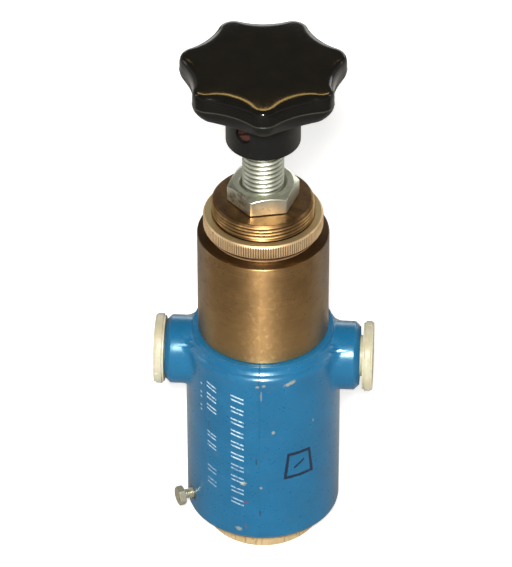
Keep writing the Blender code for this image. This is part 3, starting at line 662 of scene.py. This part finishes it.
FINISHES = {
    "blue_paint": blue_paint(),
    "bronze": brushed_bronze(),
    "dark_bronze": dark_bronze(),
    "ring_brass": knurled_brass(),
    "plug_brass": plug_brass(),
    "zinc_steel": plated_steel(),
    "yellow_zinc": metal(
        "yellow_zinc_screw", (0.92, 0.89, 0.72), (0.66, 0.62, 0.46), (0.14, 0.11, 0.06),
        rough=(0.24, 0.38), lines=0.008, spots=0.5, turned=False, metallic=0.85, crease_shade=0.8,
    ),
    "bright_steel": metal(
        "bright_steel_ground", (0.62, 0.62, 0.62), (0.48, 0.48, 0.48), (0.25, 0.23, 0.2),
        rough=(0.18, 0.3),
    ),
    "spring_steel": metal(
        "spring_steel_oiled", (0.30, 0.30, 0.31), (0.18, 0.18, 0.19), (0.08, 0.07, 0.06),
        rough=(0.3, 0.45), turned=False,
    ),
    "rusty_steel": metal(
        "rusty_steel_screw", (0.10, 0.035, 0.022), (0.05, 0.02, 0.014), (0.02, 0.012, 0.01),
        rough=(0.55, 0.8), lines=0.02, spots=0.8, turned=False,
    ).set(Metallic=0.4),
    "black_phenolic": black_knob(),
    "ivory_plastic": ivory_plastic(),
    "black_rubber": rubber(),
}


def dress(obj, node, slot, squash=None):
    """Dresses a piece that stands for a CAD node and lets it ride on that node's body."""
    obj.data.materials.clear()
    obj.data.materials.append(FINISHES[slot].material)
    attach(obj, BODY_OF[node])
    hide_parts(node)
    if squash:
        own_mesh(obj)


def piece(node, ending, slot, sheet, sharp=32.0, squash=None, cuts=()):
    """Makes and dresses a piece. Its name is its node's name with an ending."""
    obj = mesh_object(f"{node}_{ending}", sheet, sharp)
    if cuts:
        cut(obj, *cuts, sharp=sharp)
    dress(obj, node, slot, squash)


# Valve body


def body_profile():
    """The outer wall from its upper edge to its lower edge, as (radius, z)."""
    upper = softened([(26.2, BODY_TOP_Z), (27.0, BODY_TOP_Z, 0.35), (27.15, 92.9, 0.9), (27.8, 91.95)])
    shoulder = [(SHOULDER_R, 91.6)]
    for k in range(1, 10):
        turn = math.radians(90 - 10 * k)
        shoulder.append((BODY_R - 2.8 * (1 - math.cos(turn)), SHOULDER_Z + 3.2 * math.sin(turn)))
    shoulder = [p for p in shoulder if p[0] >= SHOULDER_R]
    wall = [(BODY_R, z) for z in np.arange(86.0, PATCH_BOTTOM_Z - 0.1, -2.0)]
    wall += [(BODY_R, z) for z in (55.0, 48.0, 41.0, 34.0, 27.0, 20.0, 15.0)]
    lower = softened([(BODY_R, 13.0), (BODY_R, BODY_BOTTOM_Z, 0.6), (28.6, BODY_BOTTOM_Z)])
    return upper + shoulder + wall + lower


def body_cavity():
    """The stack of bores from the bottom opening to the top one."""
    return softened(
        [
            (20.6, BODY_BOTTOM_Z), (20.0, 11.4), (20.0, 27.0), (13.0, 27.0), (13.0, 54.0), (9.0, 54.0),
            (9.0, 55.7), (11.0, 55.7), (11.0, 62.3), (12.5, 62.3), (12.5, 86.8), (20.8, 86.8),
            (20.8, 94.2), (21.3, BODY_TOP_Z),
        ]
    )


def boss_rings():
    """The boss beyond its root fillet: chamfer, face, bore and duct, as (x, distance from its axis)."""
    return softened(
        [
            (33.4, BOSS_R), (BOSS_FACE_X - 2.0, BOSS_R, 0.9), (BOSS_FACE_X, BOSS_R - 2.0, 0.35),
            (BOSS_FACE_X, 9.0, 0.1), (BOSS_FACE_X - 0.67, 8.33, 0.1), (25.4, 8.33), (25.4, 5.5),
            (15.0, 5.5), (15.0, 0.0),
        ]
    )


def boss_patch(sheet, profile, loop, side):
    """Joins the gap in the body wall to a filleted boss. loop holds (index, y, z) of the gap's edge."""
    heights = np.array([z for _, z in profile][::-1])
    radii = np.array([r for r, _ in profile][::-1])

    def wall_x(y, z):
        return math.sqrt(np.interp(z, heights, radii) ** 2 - y * y)

    steps, bends, nudge = 5, 8, 0.04
    columns = []
    for _, y, z in loop:
        phi = math.atan2(z - PORT_Z, y)
        cosine, sine = math.cos(phi), math.sin(phi)
        outer = math.hypot(y, z - PORT_Z)
        anchor = BOSS_R + min(BOSS_FILLET, 0.75 * (outer - BOSS_R))
        trace = []
        for k in range(1, steps + 1):
            s = outer + (anchor - outer) * k / steps
            trace.append((wall_x(s * cosine, PORT_Z + s * sine), s))
        x, s = trace[-1]
        inner = s - nudge
        slope = (wall_x(inner * cosine, PORT_Z + inner * sine) - x) / nudge
        knee = (x + slope * (s - BOSS_R), BOSS_R)
        reach = min(math.hypot(x - knee[0], s - knee[1]), BOSS_FILLET + 0.6)
        end = (knee[0] + reach, BOSS_R)
        for k in range(1, bends + 1):
            t = k / bends
            bend = zip((x, s), knee, end)
            trace.append(tuple((1 - t) ** 2 * a + 2 * t * (1 - t) * b + t * t * c for a, b, c in bend))
        trace += boss_rings()
        columns.append([(side * px, side * ps * cosine, PORT_Z + ps * sine) for px, ps in trace])
    rows = [sheet.add(points) for points in zip(*columns)]
    sheet.bands([[index for index, _, _ in loop]] + rows)


def round_wall_normals(mesh):
    """Keeps the shading of the plain wall truly round where the hole breaks its faces."""
    normals = []
    for polygon in mesh.polygons:
        for index in polygon.vertices:
            x, y, z = mesh.vertices[index].co / MM
            on_wall = abs(math.hypot(x, y) - BODY_R) < 0.05 and 13.2 < z < PATCH_BOTTOM_Z
            out = Vector((x, y, 0.0)).normalized()
            if on_wall and polygon.normal.dot(out) > 0.95:
                normals.append(out)
            else:
                normals.append(Vector((0.0, 0.0, 0.0)))
    mesh.normals_split_custom_set(normals)


def valve_body():
    outer = body_profile()
    profile = outer + body_cavity()
    sheet = Sheet()
    rows = [sheet.add(ring(r, z, BODY_COLUMNS)) for r, z in profile]
    top = min(i for i, (r, z) in enumerate(outer) if r > 26.9)
    bottom = min(i for i, (r, z) in enumerate(outer) if z <= PATCH_BOTTOM_Z)
    half = PATCH_HALF_COLUMNS

    def in_gap(row, column):
        if not top <= row < bottom:
            return False
        offset = column % (BODY_COLUMNS // 2)
        return offset < half or offset >= BODY_COLUMNS // 2 - half

    sheet.bands(rows + rows[:1], skip=in_gap)
    edge = [(top, c) for c in range(-half, half)]
    edge += [(r, half) for r in range(top, bottom)]
    edge += [(bottom, c) for c in range(half, -half, -1)]
    edge += [(r, -half) for r in range(bottom, top, -1)]
    for side, centre in ((1, 0), (-1, BODY_COLUMNS // 2)):
        loop = []
        for row, column in edge:
            radius, z = profile[row]
            angle = TAU * column / BODY_COLUMNS
            index = rows[row][(column + centre) % BODY_COLUMNS]
            loop.append((index, radius * math.sin(angle), z))
        boss_patch(sheet, outer, loop, side)
    body = mesh_object("valve_body_shell", sheet)
    bore = rod(LOCK_SCREW_HOLE_R, 17.0, 33.0, 40)
    hole = aimed(bore, (0, 0, LOCK_SCREW_Z), radial(LOCK_SCREW_AZ))
    cut(body, hole)
    round_wall_normals(body.data)
    dress(body, "valve_body", "blue_paint")


def bottom_plug():
    profile = [
        (0, 0), (21.6, 0, 0.3), (22.2, 0.6, 0.3), (22.2, 10.5, 0.3), (19.7, 10.5, 0.2),
        (19.7, 21.6, 0.2), (16.9, 21.6, 0.2), (16.9, 24.4, 0.2), (19.7, 24.4, 0.2), (19.3, 26.0, 0.2),
        (9.5, 26.0, 0.3), (9.5, 14.0, 0.4), (0, 14.0),
    ]
    holes = [aimed(rod(2.5, -1.0, 5.0, 40), (0, side * 14.0, 0), (0, 0, 1)) for side in (-1, 1)]
    piece("bottom_plug", "turned", "plug_brass", lathe(profile, 160), cuts=holes)


# Spring housing, cap, lock ring, locknut and spindle


def spring_bonnet():
    profile = [
        (12.0, 92.0), (12.0, 87.1, 0.2), (20.5, 87.1, 0.4), (20.5, 89.6, 0.1), (17.9, 89.6, 0.1),
        (17.9, 92.4, 0.1), (20.5, 92.4, 0.1), (20.5, 95.1, 0.1), (25.0, 95.1, 0.25), (25.0, 139.9, 0.75),
        (20.0, 139.9, 0.25), (19.6, 139.4, 0.2), (19.6, 122.0), (17.0, 122.0, 0.3), (17.0, 98.0, 0.5),
        (12.0, 98.0, 0.2), (12.0, 93.0),
    ]
    piece("spring_bonnet", "tube", "bronze", lathe(profile, 192, closed=True))


def bonnet_cap():
    low, high = CAP_THREAD_Z
    sheet = lathe(
        [
            (CAP_CORE_R, low), (19.25, 148.25, 0.1), (CAP_CREST_R, 124.0, 0.4), (15.6, 124.0, 0.2),
            (15.6, 134.0, 0.4), (8.3, 134.0, 0.2), (8.3, 154.7, 0.2), (9.1, 155.5, 0.2),
            (18.15, 155.5, 0.2), (CAP_CORE_R, high),
        ],
        144,
    )
    sheet.thread(CAP_CORE_R, CAP_CREST_R, 1.5, low, high, 144)
    piece("bonnet_cap", "threaded", "dark_bronze", sheet)


def lock_ring():
    # A groove and the two edges of a tooth, in turn
    wave = np.array([0.0, 1.0, 1.0] * RING_TEETH)
    spread = np.tile([0.0, 0.36, 0.64], RING_TEETH) + np.repeat(np.arange(RING_TEETH), 3)
    angles = TAU * spread / RING_TEETH

    def knurled(radius, z, share=1.0):
        reach = radius - RING_TOOTH_DEPTH * share * (1.0 - wave)
        return np.stack([reach * np.cos(angles), reach * np.sin(angles), np.full(len(wave), z)], axis=1)

    def plain(radius, z):
        return knurled(radius, z, 0.0)

    bore = 19.42
    base = [(bore, 144.0), (bore, 140.2, 0.2), (20.6, 140.2, 0.25), (20.6, 142.35, 0.3), (21.6, 142.6)]
    crown = [(22.3, 148.3, 0.1), (21.9, 148.7, 0.1), (19.6, 148.7, 0.1), (bore, 148.5, 0.1), (bore, 146.0)]
    rings = [plain(r, z) for r, z in softened(base)]
    rings += [plain(22.1, 143.0), knurled(22.45, 143.3, 0.6), knurled(22.65, 143.65)]
    rings += [knurled(22.65, 147.9), knurled(22.55, 148.05, 0.6), plain(22.4, 148.2)]
    rings += [plain(r, z) for r, z in softened(crown)]
    sheet = Sheet()
    sheet.loft(rings, closed=True)
    piece("lock_ring", "knurled", "ring_brass", sheet, 25.0)


def hexagon_ring(flats, z, count, corner_az, clip, inset=0.0, drop_from=None, slope=0.0):
    """A hexagonal ring with clipped corners; its height falls with the reach beyond drop_from."""
    out = []
    for i in range(count):
        angle = TAU * i / count
        off = ((i * 6 / count) % 1.0 - 0.5) * math.pi / 3
        radius = min(0.5 * flats / math.cos(off), clip) - inset
        height = z
        if drop_from is not None:
            height = z - slope * max(0.0, radius - drop_from)
        azimuth = angle + math.radians(corner_az)
        out.append((radius * math.cos(azimuth), radius * math.sin(azimuth), height))
    return out


def spindle_locknut():
    count = 144
    low, high = 155.8, 163.0
    face = 11.5
    slope = math.tan(math.radians(30))

    def chamfered_side(z, inset):
        return hexagon_ring(NUT_FLATS, z, count, NUT_CORNER_AZ, NUT_CORNER_R, inset, face, slope)

    def plain_side(z, inset=0.0):
        return hexagon_ring(NUT_FLATS, z, count, NUT_CORNER_AZ, NUT_CORNER_R, inset)

    phase = math.radians(NUT_CORNER_AZ)
    bore, mouth, rim = 8.02, 9.2, face - 0.15
    over = ((bore, high - 1.2), (mouth, high), (9.6, high), (rim, high))
    under = ((rim, low), (mouth, low), (bore, low + 1.2))
    rings = [ring(r, z, count, phase) for r, z in over]
    rings += [chamfered_side(high, 0.12), chamfered_side(high - 0.1, 0.0)]
    rings += [plain_side(low + 0.15), plain_side(low, 0.12)]
    rings += [ring(r, z, count, phase) for r, z in under]
    sheet = Sheet()
    sheet.loft(rings, closed=True)
    piece("spindle_locknut", "hex", "zinc_steel", sheet, 20.0)


def spindle():
    core, crest = SPINDLE_CORE_R, SPINDLE_CREST_R
    low, high = SPINDLE_THREAD_Z
    sheet = lathe(
        [
            (core, low), (7.2, 156.5), (crest, 156.0, 0.2), (crest, 128.0, 0.8), (4.35, 128.0, 0.3),
            (4.35, 132.8, 0.5), (0, 132.8),
        ],
        72,
    )
    top = lathe([(core, high), (crest, 182.9, 0.2), (crest, 201.5, 0.8), (0, 201.5)], 72)
    numbers = sheet.add(top.points)
    sheet.faces += [tuple(numbers[k] for k in face) for face in top.faces]
    sheet.thread(core, crest, 2.0, low, high, 72)
    piece("spindle", "threaded", "zinc_steel", sheet)


# Star knob


def lobed_radius(angle, centre_r, tip_r, valley_r):
    """Radius at an angle from a lobe's axis: a round tip, then a concave arc down to the valley."""
    half = math.pi / KNOB_LOBES
    a = abs((angle + half) % (2 * half) - half)
    mid = centre_r * math.cos(half)
    gap = centre_r * math.sin(half)
    depth = mid - valley_r
    arc = (gap * gap + depth * depth - tip_r * tip_r) / (2.0 * (tip_r + depth))
    far = valley_r + arc
    arc_x = far * math.cos(half)
    arc_y = far * math.sin(half)
    share = tip_r / (tip_r + arc)
    join_x = centre_r + (arc_x - centre_r) * share
    join_y = arc_y * share
    if a <= math.atan2(join_y, join_x):
        return centre_r * math.cos(a) + math.sqrt(tip_r**2 - (centre_r * math.sin(a)) ** 2)
    b = half - a
    return far * math.cos(b) - math.sqrt(arc**2 - (far * math.sin(b)) ** 2)


def lobed(z, centre_r, tip_r, valley_r, grow=0.0, share=1.0):
    """A lobed ring, scaled by share and widened by grow. z is its height, or a function of the radius."""
    out = []
    for i in range(KNOB_COUNT):
        turn = TAU * i / KNOB_COUNT
        radius = lobed_radius(turn, centre_r, tip_r, valley_r) * share + grow
        angle = turn + math.radians(KNOB_LOBE_AZ)
        height = z(radius) if callable(z) else z
        out.append((radius * math.cos(angle), radius * math.sin(angle), height))
    return out


def blend(a, b, share):
    return tuple(p + (q - p) * share for p, q in zip(a, b))


def knob_top(level, share=1.0):
    """A ring of the knob's upper surface.

    level runs from 1 at the parting line to 0 at the rim of the top; share draws the ring in from there.
    """
    height = (1.0 - level**KNOB_FULLNESS) ** (1.0 / KNOB_FULLNESS)

    def top_z(radius):
        droop = KNOB_DROOP * max(0.0, radius - 18.0) ** 2
        crown = 0.2 * max(0.0, 1.0 - (radius / 22.0) ** 2)
        return KNOB_PARTING_Z + KNOB_BAND + (KNOB_RISE - droop) * height + crown

    return lobed(top_z, *blend(KNOB_TOP_EDGE, KNOB_PARTING, level), share=share)


def grub_hole(start):
    return aimed(rod(GRUB_HOLE_R, start, 16.0, 48), (0, 0, GRUB_Z), radial(GRUB_AZ))


def star_knob():
    phase = math.radians(KNOB_LOBE_AZ)
    hub = softened(
        [
            (0, 201.9), (8.2, 201.9, 0.2), (8.2, 197.8, 0.1), (10.8, 197.8, 0.1), (10.8, 182.6, 0.1),
            (11.2, 182.2, 0.1), (14.0, 182.2, 0.7), (14.0, KNOB_RIM_Z, 2.6), (18.0, KNOB_RIM_Z),
        ],
        5,
    )
    rings = [ring(r, z, KNOB_COUNT, phase) for r, z in hub]
    rim = lobed(KNOB_RIM_Z, 22.4, 4.9, 24.6)
    inner = rings[-1]
    rings += [[blend(p, q, share) for p, q in zip(inner, rim)] for share in (0.33, 0.66)]
    rings += [rim, lobed(203.58, 22.8, 5.0, 25.0), lobed(KNOB_LOWER_EDGE_Z, *KNOB_LOWER_EDGE)]
    for share in (0.2, 0.4, 0.6, 0.8, 0.96):
        outline = blend(KNOB_LOWER_EDGE, KNOB_PARTING, math.sin(0.5 * math.pi * share))
        rings.append(lobed(KNOB_LOWER_EDGE_Z + 5.9 * share, *outline))
    # The parting line stands slightly proud
    for rise, proud in ((-0.14, 0.09), (0.0, 0.13), (0.14, 0.09), (KNOB_BAND, 0.0)):
        rings.append(lobed(KNOB_PARTING_Z + rise, *KNOB_PARTING, proud))
    steps = 22
    for k in range(1, steps + 1):
        turn = 0.5 * math.pi * (1 - k / steps)
        rings.append(knob_top(math.sin(turn) ** (2.0 / KNOB_FULLNESS)))
    for share in (0.95, 0.88, 0.78, 0.66, 0.52, 0.38, 0.24, 0.1, 0.0):
        rings.append(knob_top(0.0, share))
    sheet = Sheet()
    sheet.loft(rings)
    piece("star_knob", "lobed", "black_phenolic", sheet, 40.0, cuts=[grub_hole(7.0)])


def knob_insert():
    profile = [
        (9.3, 197.5), (8.2, 197.5, 0.2), (8.2, 181.9, 0.3), (10.5, 181.9, 0.3), (10.5, 197.5, 0.3),
    ]
    turned = lathe(profile, 96, closed=True)
    piece("knob_insert", "bush", "plug_brass", turned, cuts=[grub_hole(6.0)])


def box_sheet(low, high):
    sheet = Sheet()
    corners = [(x, y, z) for z in (low[2], high[2]) for y in (low[1], high[1]) for x in (low[0], high[0])]
    sheet.add(corners)
    sheet.faces = [(0, 2, 3, 1), (4, 5, 7, 6), (0, 1, 5, 4), (2, 6, 7, 3), (0, 4, 6, 2), (1, 3, 7, 5)]
    return sheet


def knob_grub_screw():
    profile = [(0, 0), (2.1, 0, 0.1), (2.9, 0.8, 0.1), (2.9, 4.3, 0.25), (0, 4.3)]
    screw = mesh_object("knob_grub_screw_slotted", lathe(profile, 64))
    slot = box_sheet((-4.0, -0.5, 3.1), (4.0, 0.5, 5.3))
    turned = Matrix.Rotation(math.radians(25), 3, "Z")
    slot.points = [tuple(turned @ Vector(p)) for p in slot.points]
    cut(screw, slot)
    place = radial(GRUB_AZ).to_track_quat("Z", "Y").to_matrix().to_4x4()
    place.translation = (radial(GRUB_AZ) * 8.3 + Vector((0, 0, GRUB_Z))) * MM
    screw.data.transform(place)
    dress(screw, "knob_grub_screw", "rusty_steel")


# Port plugs and locking screw


def port_plug(node, side, gap):
    """A push-in plug: thin stepped flange, hollow stem, a recess with a raised ring in the outer face."""
    out = gap + 3.9
    profile = [
        (0, -7.0), (5.6, -7.0, 0.2), (5.6, -9.0, 0.3), (7.3, -9.0, 0.3), (7.9, -7.5, 0.5),
        (7.9, gap, 0.1), (12.8, gap, 0.15), (12.8, gap + 0.75, 0.1), (13.5, gap + 0.85, 0.2),
        (13.5, out - 0.75, 0.2), (13.12, out - 0.7, 0.1), (13.1, out, 0.3), (11.0, out, 0.3),
        (10.6, out - 1.2, 0.2), (8.4, out - 1.2, 0.1), (8.3, out - 0.9, 0.1), (7.7, out - 0.9, 0.1),
        (7.6, out - 1.2, 0.1), (6.2, out - 1.2, 0.2), (6.0, -5.0, 0.4), (0, -5.0),
    ]
    sheet = aimed(lathe(profile, 128), (side * BOSS_FACE_X, 0, PORT_Z), (side, 0, 0))
    piece(node, "moulded", "ivory_plastic", sheet)


def plug_lock_screw():
    shank = 11.7
    top = shank + 2.8
    core, crest = 1.62, 2.0
    flats, corner_r = 7.0, 3.98
    count = 96
    sheet = Sheet()
    sheet.thread(core, crest, 0.7, 0.3, shank - 0.6, count)
    sheet.loft([ring(0, 0, count), ring(1.45, 0, count), ring(core, 0.3, count)])
    slope = math.tan(math.radians(30))

    def side(z, sign, inset=0.0):
        return hexagon_ring(flats, z, count, 0.0, corner_r, inset, 3.3, sign * slope)

    neck = ((core, shank - 0.6), (1.7, shank - 0.1), (2.0, shank), (3.1, shank))
    rings = [ring(r, z, count) for r, z in neck]
    rings += [side(shank, -1, 0.08), side(shank + 0.1, -1), side(top - 0.1, 1), side(top, 1, 0.08)]
    rings += [ring(r, top, count) for r in (3.2, 2.9, 0)]
    sheet.loft(rings)
    aimed(sheet, radial(LOCK_SCREW_AZ) * 21.7 + Vector((0, 0, LOCK_SCREW_Z)), radial(LOCK_SCREW_AZ))
    piece("plug_lock_screw", "hex", "yellow_zinc", sheet, 22.0)


# Inside


def o_ring(node, mean_r, cord, z):
    sides = 16
    turns = [TAU * k / sides for k in range(sides)]
    profile = [(mean_r + 0.5 * cord * math.cos(t), z + 0.5 * cord * math.sin(t)) for t in turns]
    piece(node, "ring", "black_rubber", lathe(profile, 96, closed=True), 60.0)


def coil_spring(node, mean_r, wire, turns, z0, z1, joint, keep):
    """A round-wire coil spring, wound from z0 to z1."""
    per_turn, sides = 48, 14
    half = 0.5 * wire
    rise = z1 - z0 - wire
    steps = int(round(turns * per_turn))
    rings = []
    for i in range(steps + 1):
        angle = TAU * i / per_turn
        height = z0 + half + rise * i / steps
        section = []
        for k in range(sides):
            t = TAU * (k + 0.5) / sides
            radius = mean_r + half * math.cos(t)
            z = height + half * math.sin(t)
            section.append((radius * math.cos(angle), radius * math.sin(angle), z))
        rings.append(section)
    sheet = Sheet()
    sheet.loft(rings, capped=True)
    piece(node, "coil", "spring_steel", sheet, 50.0, (joint, (0, 0, 1), (0, 0, z0 * MM), keep))


INNER_PARTS = {
    "seat_ring": (
        "bright_steel",
        True,
        [(7.8, 56.0), (10.7, 56.0, 0.2), (10.7, 58.0), (8.6, 58.0), (8.6, 60.0), (10.7, 60.0)]
        + [(10.7, 62.0, 0.3), (7.0, 62.0, 0.1), (7.0, 56.0, 0.3)],
    ),
    "guide_bush": (
        "bronze",
        True,
        [(9.0, 87.4), (11.7, 87.4, 0.3), (11.7, 97.7, 0.3), (6.3, 97.7, 0.3), (6.3, 93.6), (8.4, 93.6)]
        + [(8.4, 91.4), (6.3, 91.4), (6.3, 87.4, 0.3)],
    ),
    "throttle_plunger": (
        "bright_steel",
        False,
        [(0, 63.2), (3.0, 63.2, 0.3), (9.5, 71.0, 0.8), (9.5, 75.0, 0.4), (6.0, 76.5, 1.0)]
        + [(6.0, 118.0, 0.3), (4.0, 118.0), (4.0, 122.2), (3.4, 122.2), (3.4, 123.2), (4.0, 123.2)]
        + [(4.0, 124.2, 0.3), (0, 124.2)],
    ),
    "spring_plate": (
        "zinc_steel",
        True,
        [(9.0, 118.3), (15.0, 118.3, 0.4), (15.0, 122.0, 0.4), (4.3, 122.0, 0.3), (4.3, 118.3, 0.3)],
    ),
    "compensator_piston": (
        "bright_steel",
        True,
        [(2.5, 47.5), (2.5, 46.0, 0.2), (9.5, 46.0, 0.5), (9.5, 36.0, 0.2), (12.7, 36.0, 0.4), (12.7, 41.0)]
        + [(10.9, 41.0), (10.9, 43.2), (12.7, 43.2), (12.7, 49.0, 0.4), (2.5, 49.0, 0.3)],
    ),
}


def thrust_ball():
    radius, centre_z = 4.0, 128.5
    turns = [math.pi * k / 24 - math.pi / 2 for k in range(25)]
    ball = [(radius * math.cos(t), centre_z + radius * math.sin(t)) for t in turns]
    piece("thrust_ball", "polished", "bright_steel", lathe(ball, 64))


def retaining_ring():
    """A snap ring with an open gap."""
    steps = 64
    half_gap = math.radians(28)
    profile = [(4.9, 122.4), (3.7, 122.4, 0.1), (3.7, 123.0, 0.1), (6.2, 123.0, 0.1), (6.2, 122.4, 0.1)]
    section = softened(profile, 2)
    rings = []
    for i in range(steps + 1):
        angle = half_gap + (TAU - 2 * half_gap) * i / steps
        rings.append([(r * math.cos(angle), r * math.sin(angle), z) for r, z in section])
    sheet = Sheet()
    sheet.loft(rings, capped=True)
    piece("plate_retaining_ring", "sprung", "spring_steel", sheet)


def inner_parts():
    for node, (slot, closed, profile) in INNER_PARTS.items():
        piece(node, "turned", slot, lathe(profile, 96, closed))
    thrust_ball()
    retaining_ring()
    for seal in (
        ("plug_seal", 18.5, 2.0, 23.0), ("bonnet_seal", 19.3, 1.7, 91.0),
        ("seat_seal", 9.6, 1.3, 59.0), ("rod_seal", 7.25, 1.5, 92.5),
        ("piston_seal", 11.95, 1.4, 42.1),
    ):
        o_ring(*seal)
    coil_spring("return_spring", 13.2, 2.2, 3.5, 98.3, 118.0, "plunger_slide", 0.7)
    coil_spring("compensator_spring", 7.5, 2.0, 7.0, 14.3, 45.7, "compensator_slide", 0.87)


# Floor, light and camera


FLOOR_HALF = 4000.0
FLOOR_NEAR = (0.16, 0.14, 0.12)
FLOOR_FAR = (0.70, 0.68, 0.64)
FLOOR_GLOW = 0.6
BACKDROP = (0.96, 0.96, 0.96)
WORLD_HORIZON = (0.34, 0.33, 0.31)
WORLD_OVERHEAD = (0.095, 0.09, 0.08)
# Name, place, aim, size, energy, colour
LAMPS = [
    ("flash", (0.04, -1.30, 1.24), (0, 0, 0.11), (0.15, 0.15), 38.0, (1.0, 0.98, 0.95)),
    ("back_strip", (0.0, 0.85, 1.50), (0, 0, 0.2), (1.8, 0.20), 12.5, (1.0, 0.67, 0.22)),
    ("back_fill", (0.25, 1.5, 0.45), (0, 0, 0.1), (1.8, 0.5), 6.0, (1.0, 0.99, 0.96)),
    ("side_left", (-1.2, 0.2, 0.7), (0, 0, 0.12), (0.25, 0.9), 1.1, (0.95, 0.97, 1.0)),
    ("side_right", (1.2, 0.3, 0.7), (0, 0, 0.12), (0.25, 0.9), 1.1, (0.95, 0.97, 1.0)),
]
# Lamps that light one piece only
LIT_ALONE = {"back_strip": "star_knob_lobed"}
CAMERA_PLACE = (0.0766, -1.2527, 1.103)
CAMERA_TURN = (51.75, 0.0, 3.5)
CAMERA_LENS = 266.7
CAMERA_SHIFT = (-0.0127, 0.0016)


def floor():
    """A pale floor that glows a little to the camera, and shows darker near the object in reflections."""
    sheet = box_sheet((-FLOOR_HALF, -FLOOR_HALF, -12.0), (FLOOR_HALF, FLOOR_HALF, -0.3))
    slab = mesh_object("studio_floor", sheet)
    pale = Finish("studio_floor_pale")
    seen = pale.node("ShaderNodeLightPath")
    colour = pale.mix(pale.noise(0.02, 3.0), (0.90, 0.90, 0.89), (0.93, 0.93, 0.92))
    glint = pale.mix(pale.span(pale.y, -60.0, 120.0), FLOOR_NEAR, FLOOR_FAR)
    mirrored = pale.mix(seen.outputs["Is Glossy Ray"], colour, glint)
    glow = pale.both(seen.outputs["Is Camera Ray"], FLOOR_GLOW)
    pale.set(Base_Color=mirrored, Roughness=0.9, Emission_Color=(1.0, 1.0, 1.0), Emission_Strength=glow)
    slab.data.materials.append(pale.material)


def world():
    """A white backdrop to the camera; elsewhere light that fades from the horizon to overhead."""
    made = bpy.data.worlds.new("studio_world")
    bpy.context.scene.world = made
    made.use_nodes = True
    sky = Nodes(made.node_tree)
    place = sky.node("ShaderNodeTexCoord").outputs["Generated"]
    rise = sky.span(sky.node("ShaderNodeSeparateXYZ", Vector=place).outputs[2], 0.05, 0.5)
    light = sky.mix(rise, WORLD_HORIZON, WORLD_OVERHEAD)
    seen = sky.node("ShaderNodeLightPath").outputs["Is Camera Ray"]
    sky.feed(sky.tree.nodes["Background"].inputs[0], sky.mix(seen, light, BACKDROP))


def lamps():
    for name, place, target, size, energy, colour in LAMPS:
        lamp = bpy.data.lights.new(name, "AREA")
        lamp.shape = "RECTANGLE"
        lamp.size, lamp.size_y = size
        lamp.energy = energy
        lamp.color = colour
        obj = bpy.data.objects.new(name, lamp)
        obj.location = place
        obj.rotation_euler = (Vector(target) - Vector(place)).to_track_quat("-Z", "Y").to_euler()
        bpy.context.scene.collection.objects.link(obj)
        if name in LIT_ALONE:
            lit = bpy.data.collections.new("lit_by_" + name)
            lit.objects.link(bpy.data.objects[LIT_ALONE[name]])
            obj.light_linking.receiver_collection = lit


def camera():
    lens = bpy.data.cameras.new("camera")
    lens.lens = CAMERA_LENS
    lens.sensor_width = 36.0
    lens.shift_x, lens.shift_y = CAMERA_SHIFT
    lens.clip_end = 30.0
    obj = bpy.data.objects.new("camera", lens)
    obj.location = CAMERA_PLACE
    obj.rotation_euler = tuple(map(math.radians, CAMERA_TURN))
    bpy.context.scene.collection.objects.link(obj)
    bpy.context.scene.camera = obj
    bpy.context.scene.view_settings.view_transform = "Standard"


valve_body()
bottom_plug()
spring_bonnet()
bonnet_cap()
lock_ring()
spindle_locknut()
spindle()
star_knob()
knob_insert()
knob_grub_screw()
port_plug("inlet_port_plug", -1, 0.3)
port_plug("outlet_port_plug", 1, 1.1)
plug_lock_screw()
inner_parts()
floor()
world()
lamps()
camera()
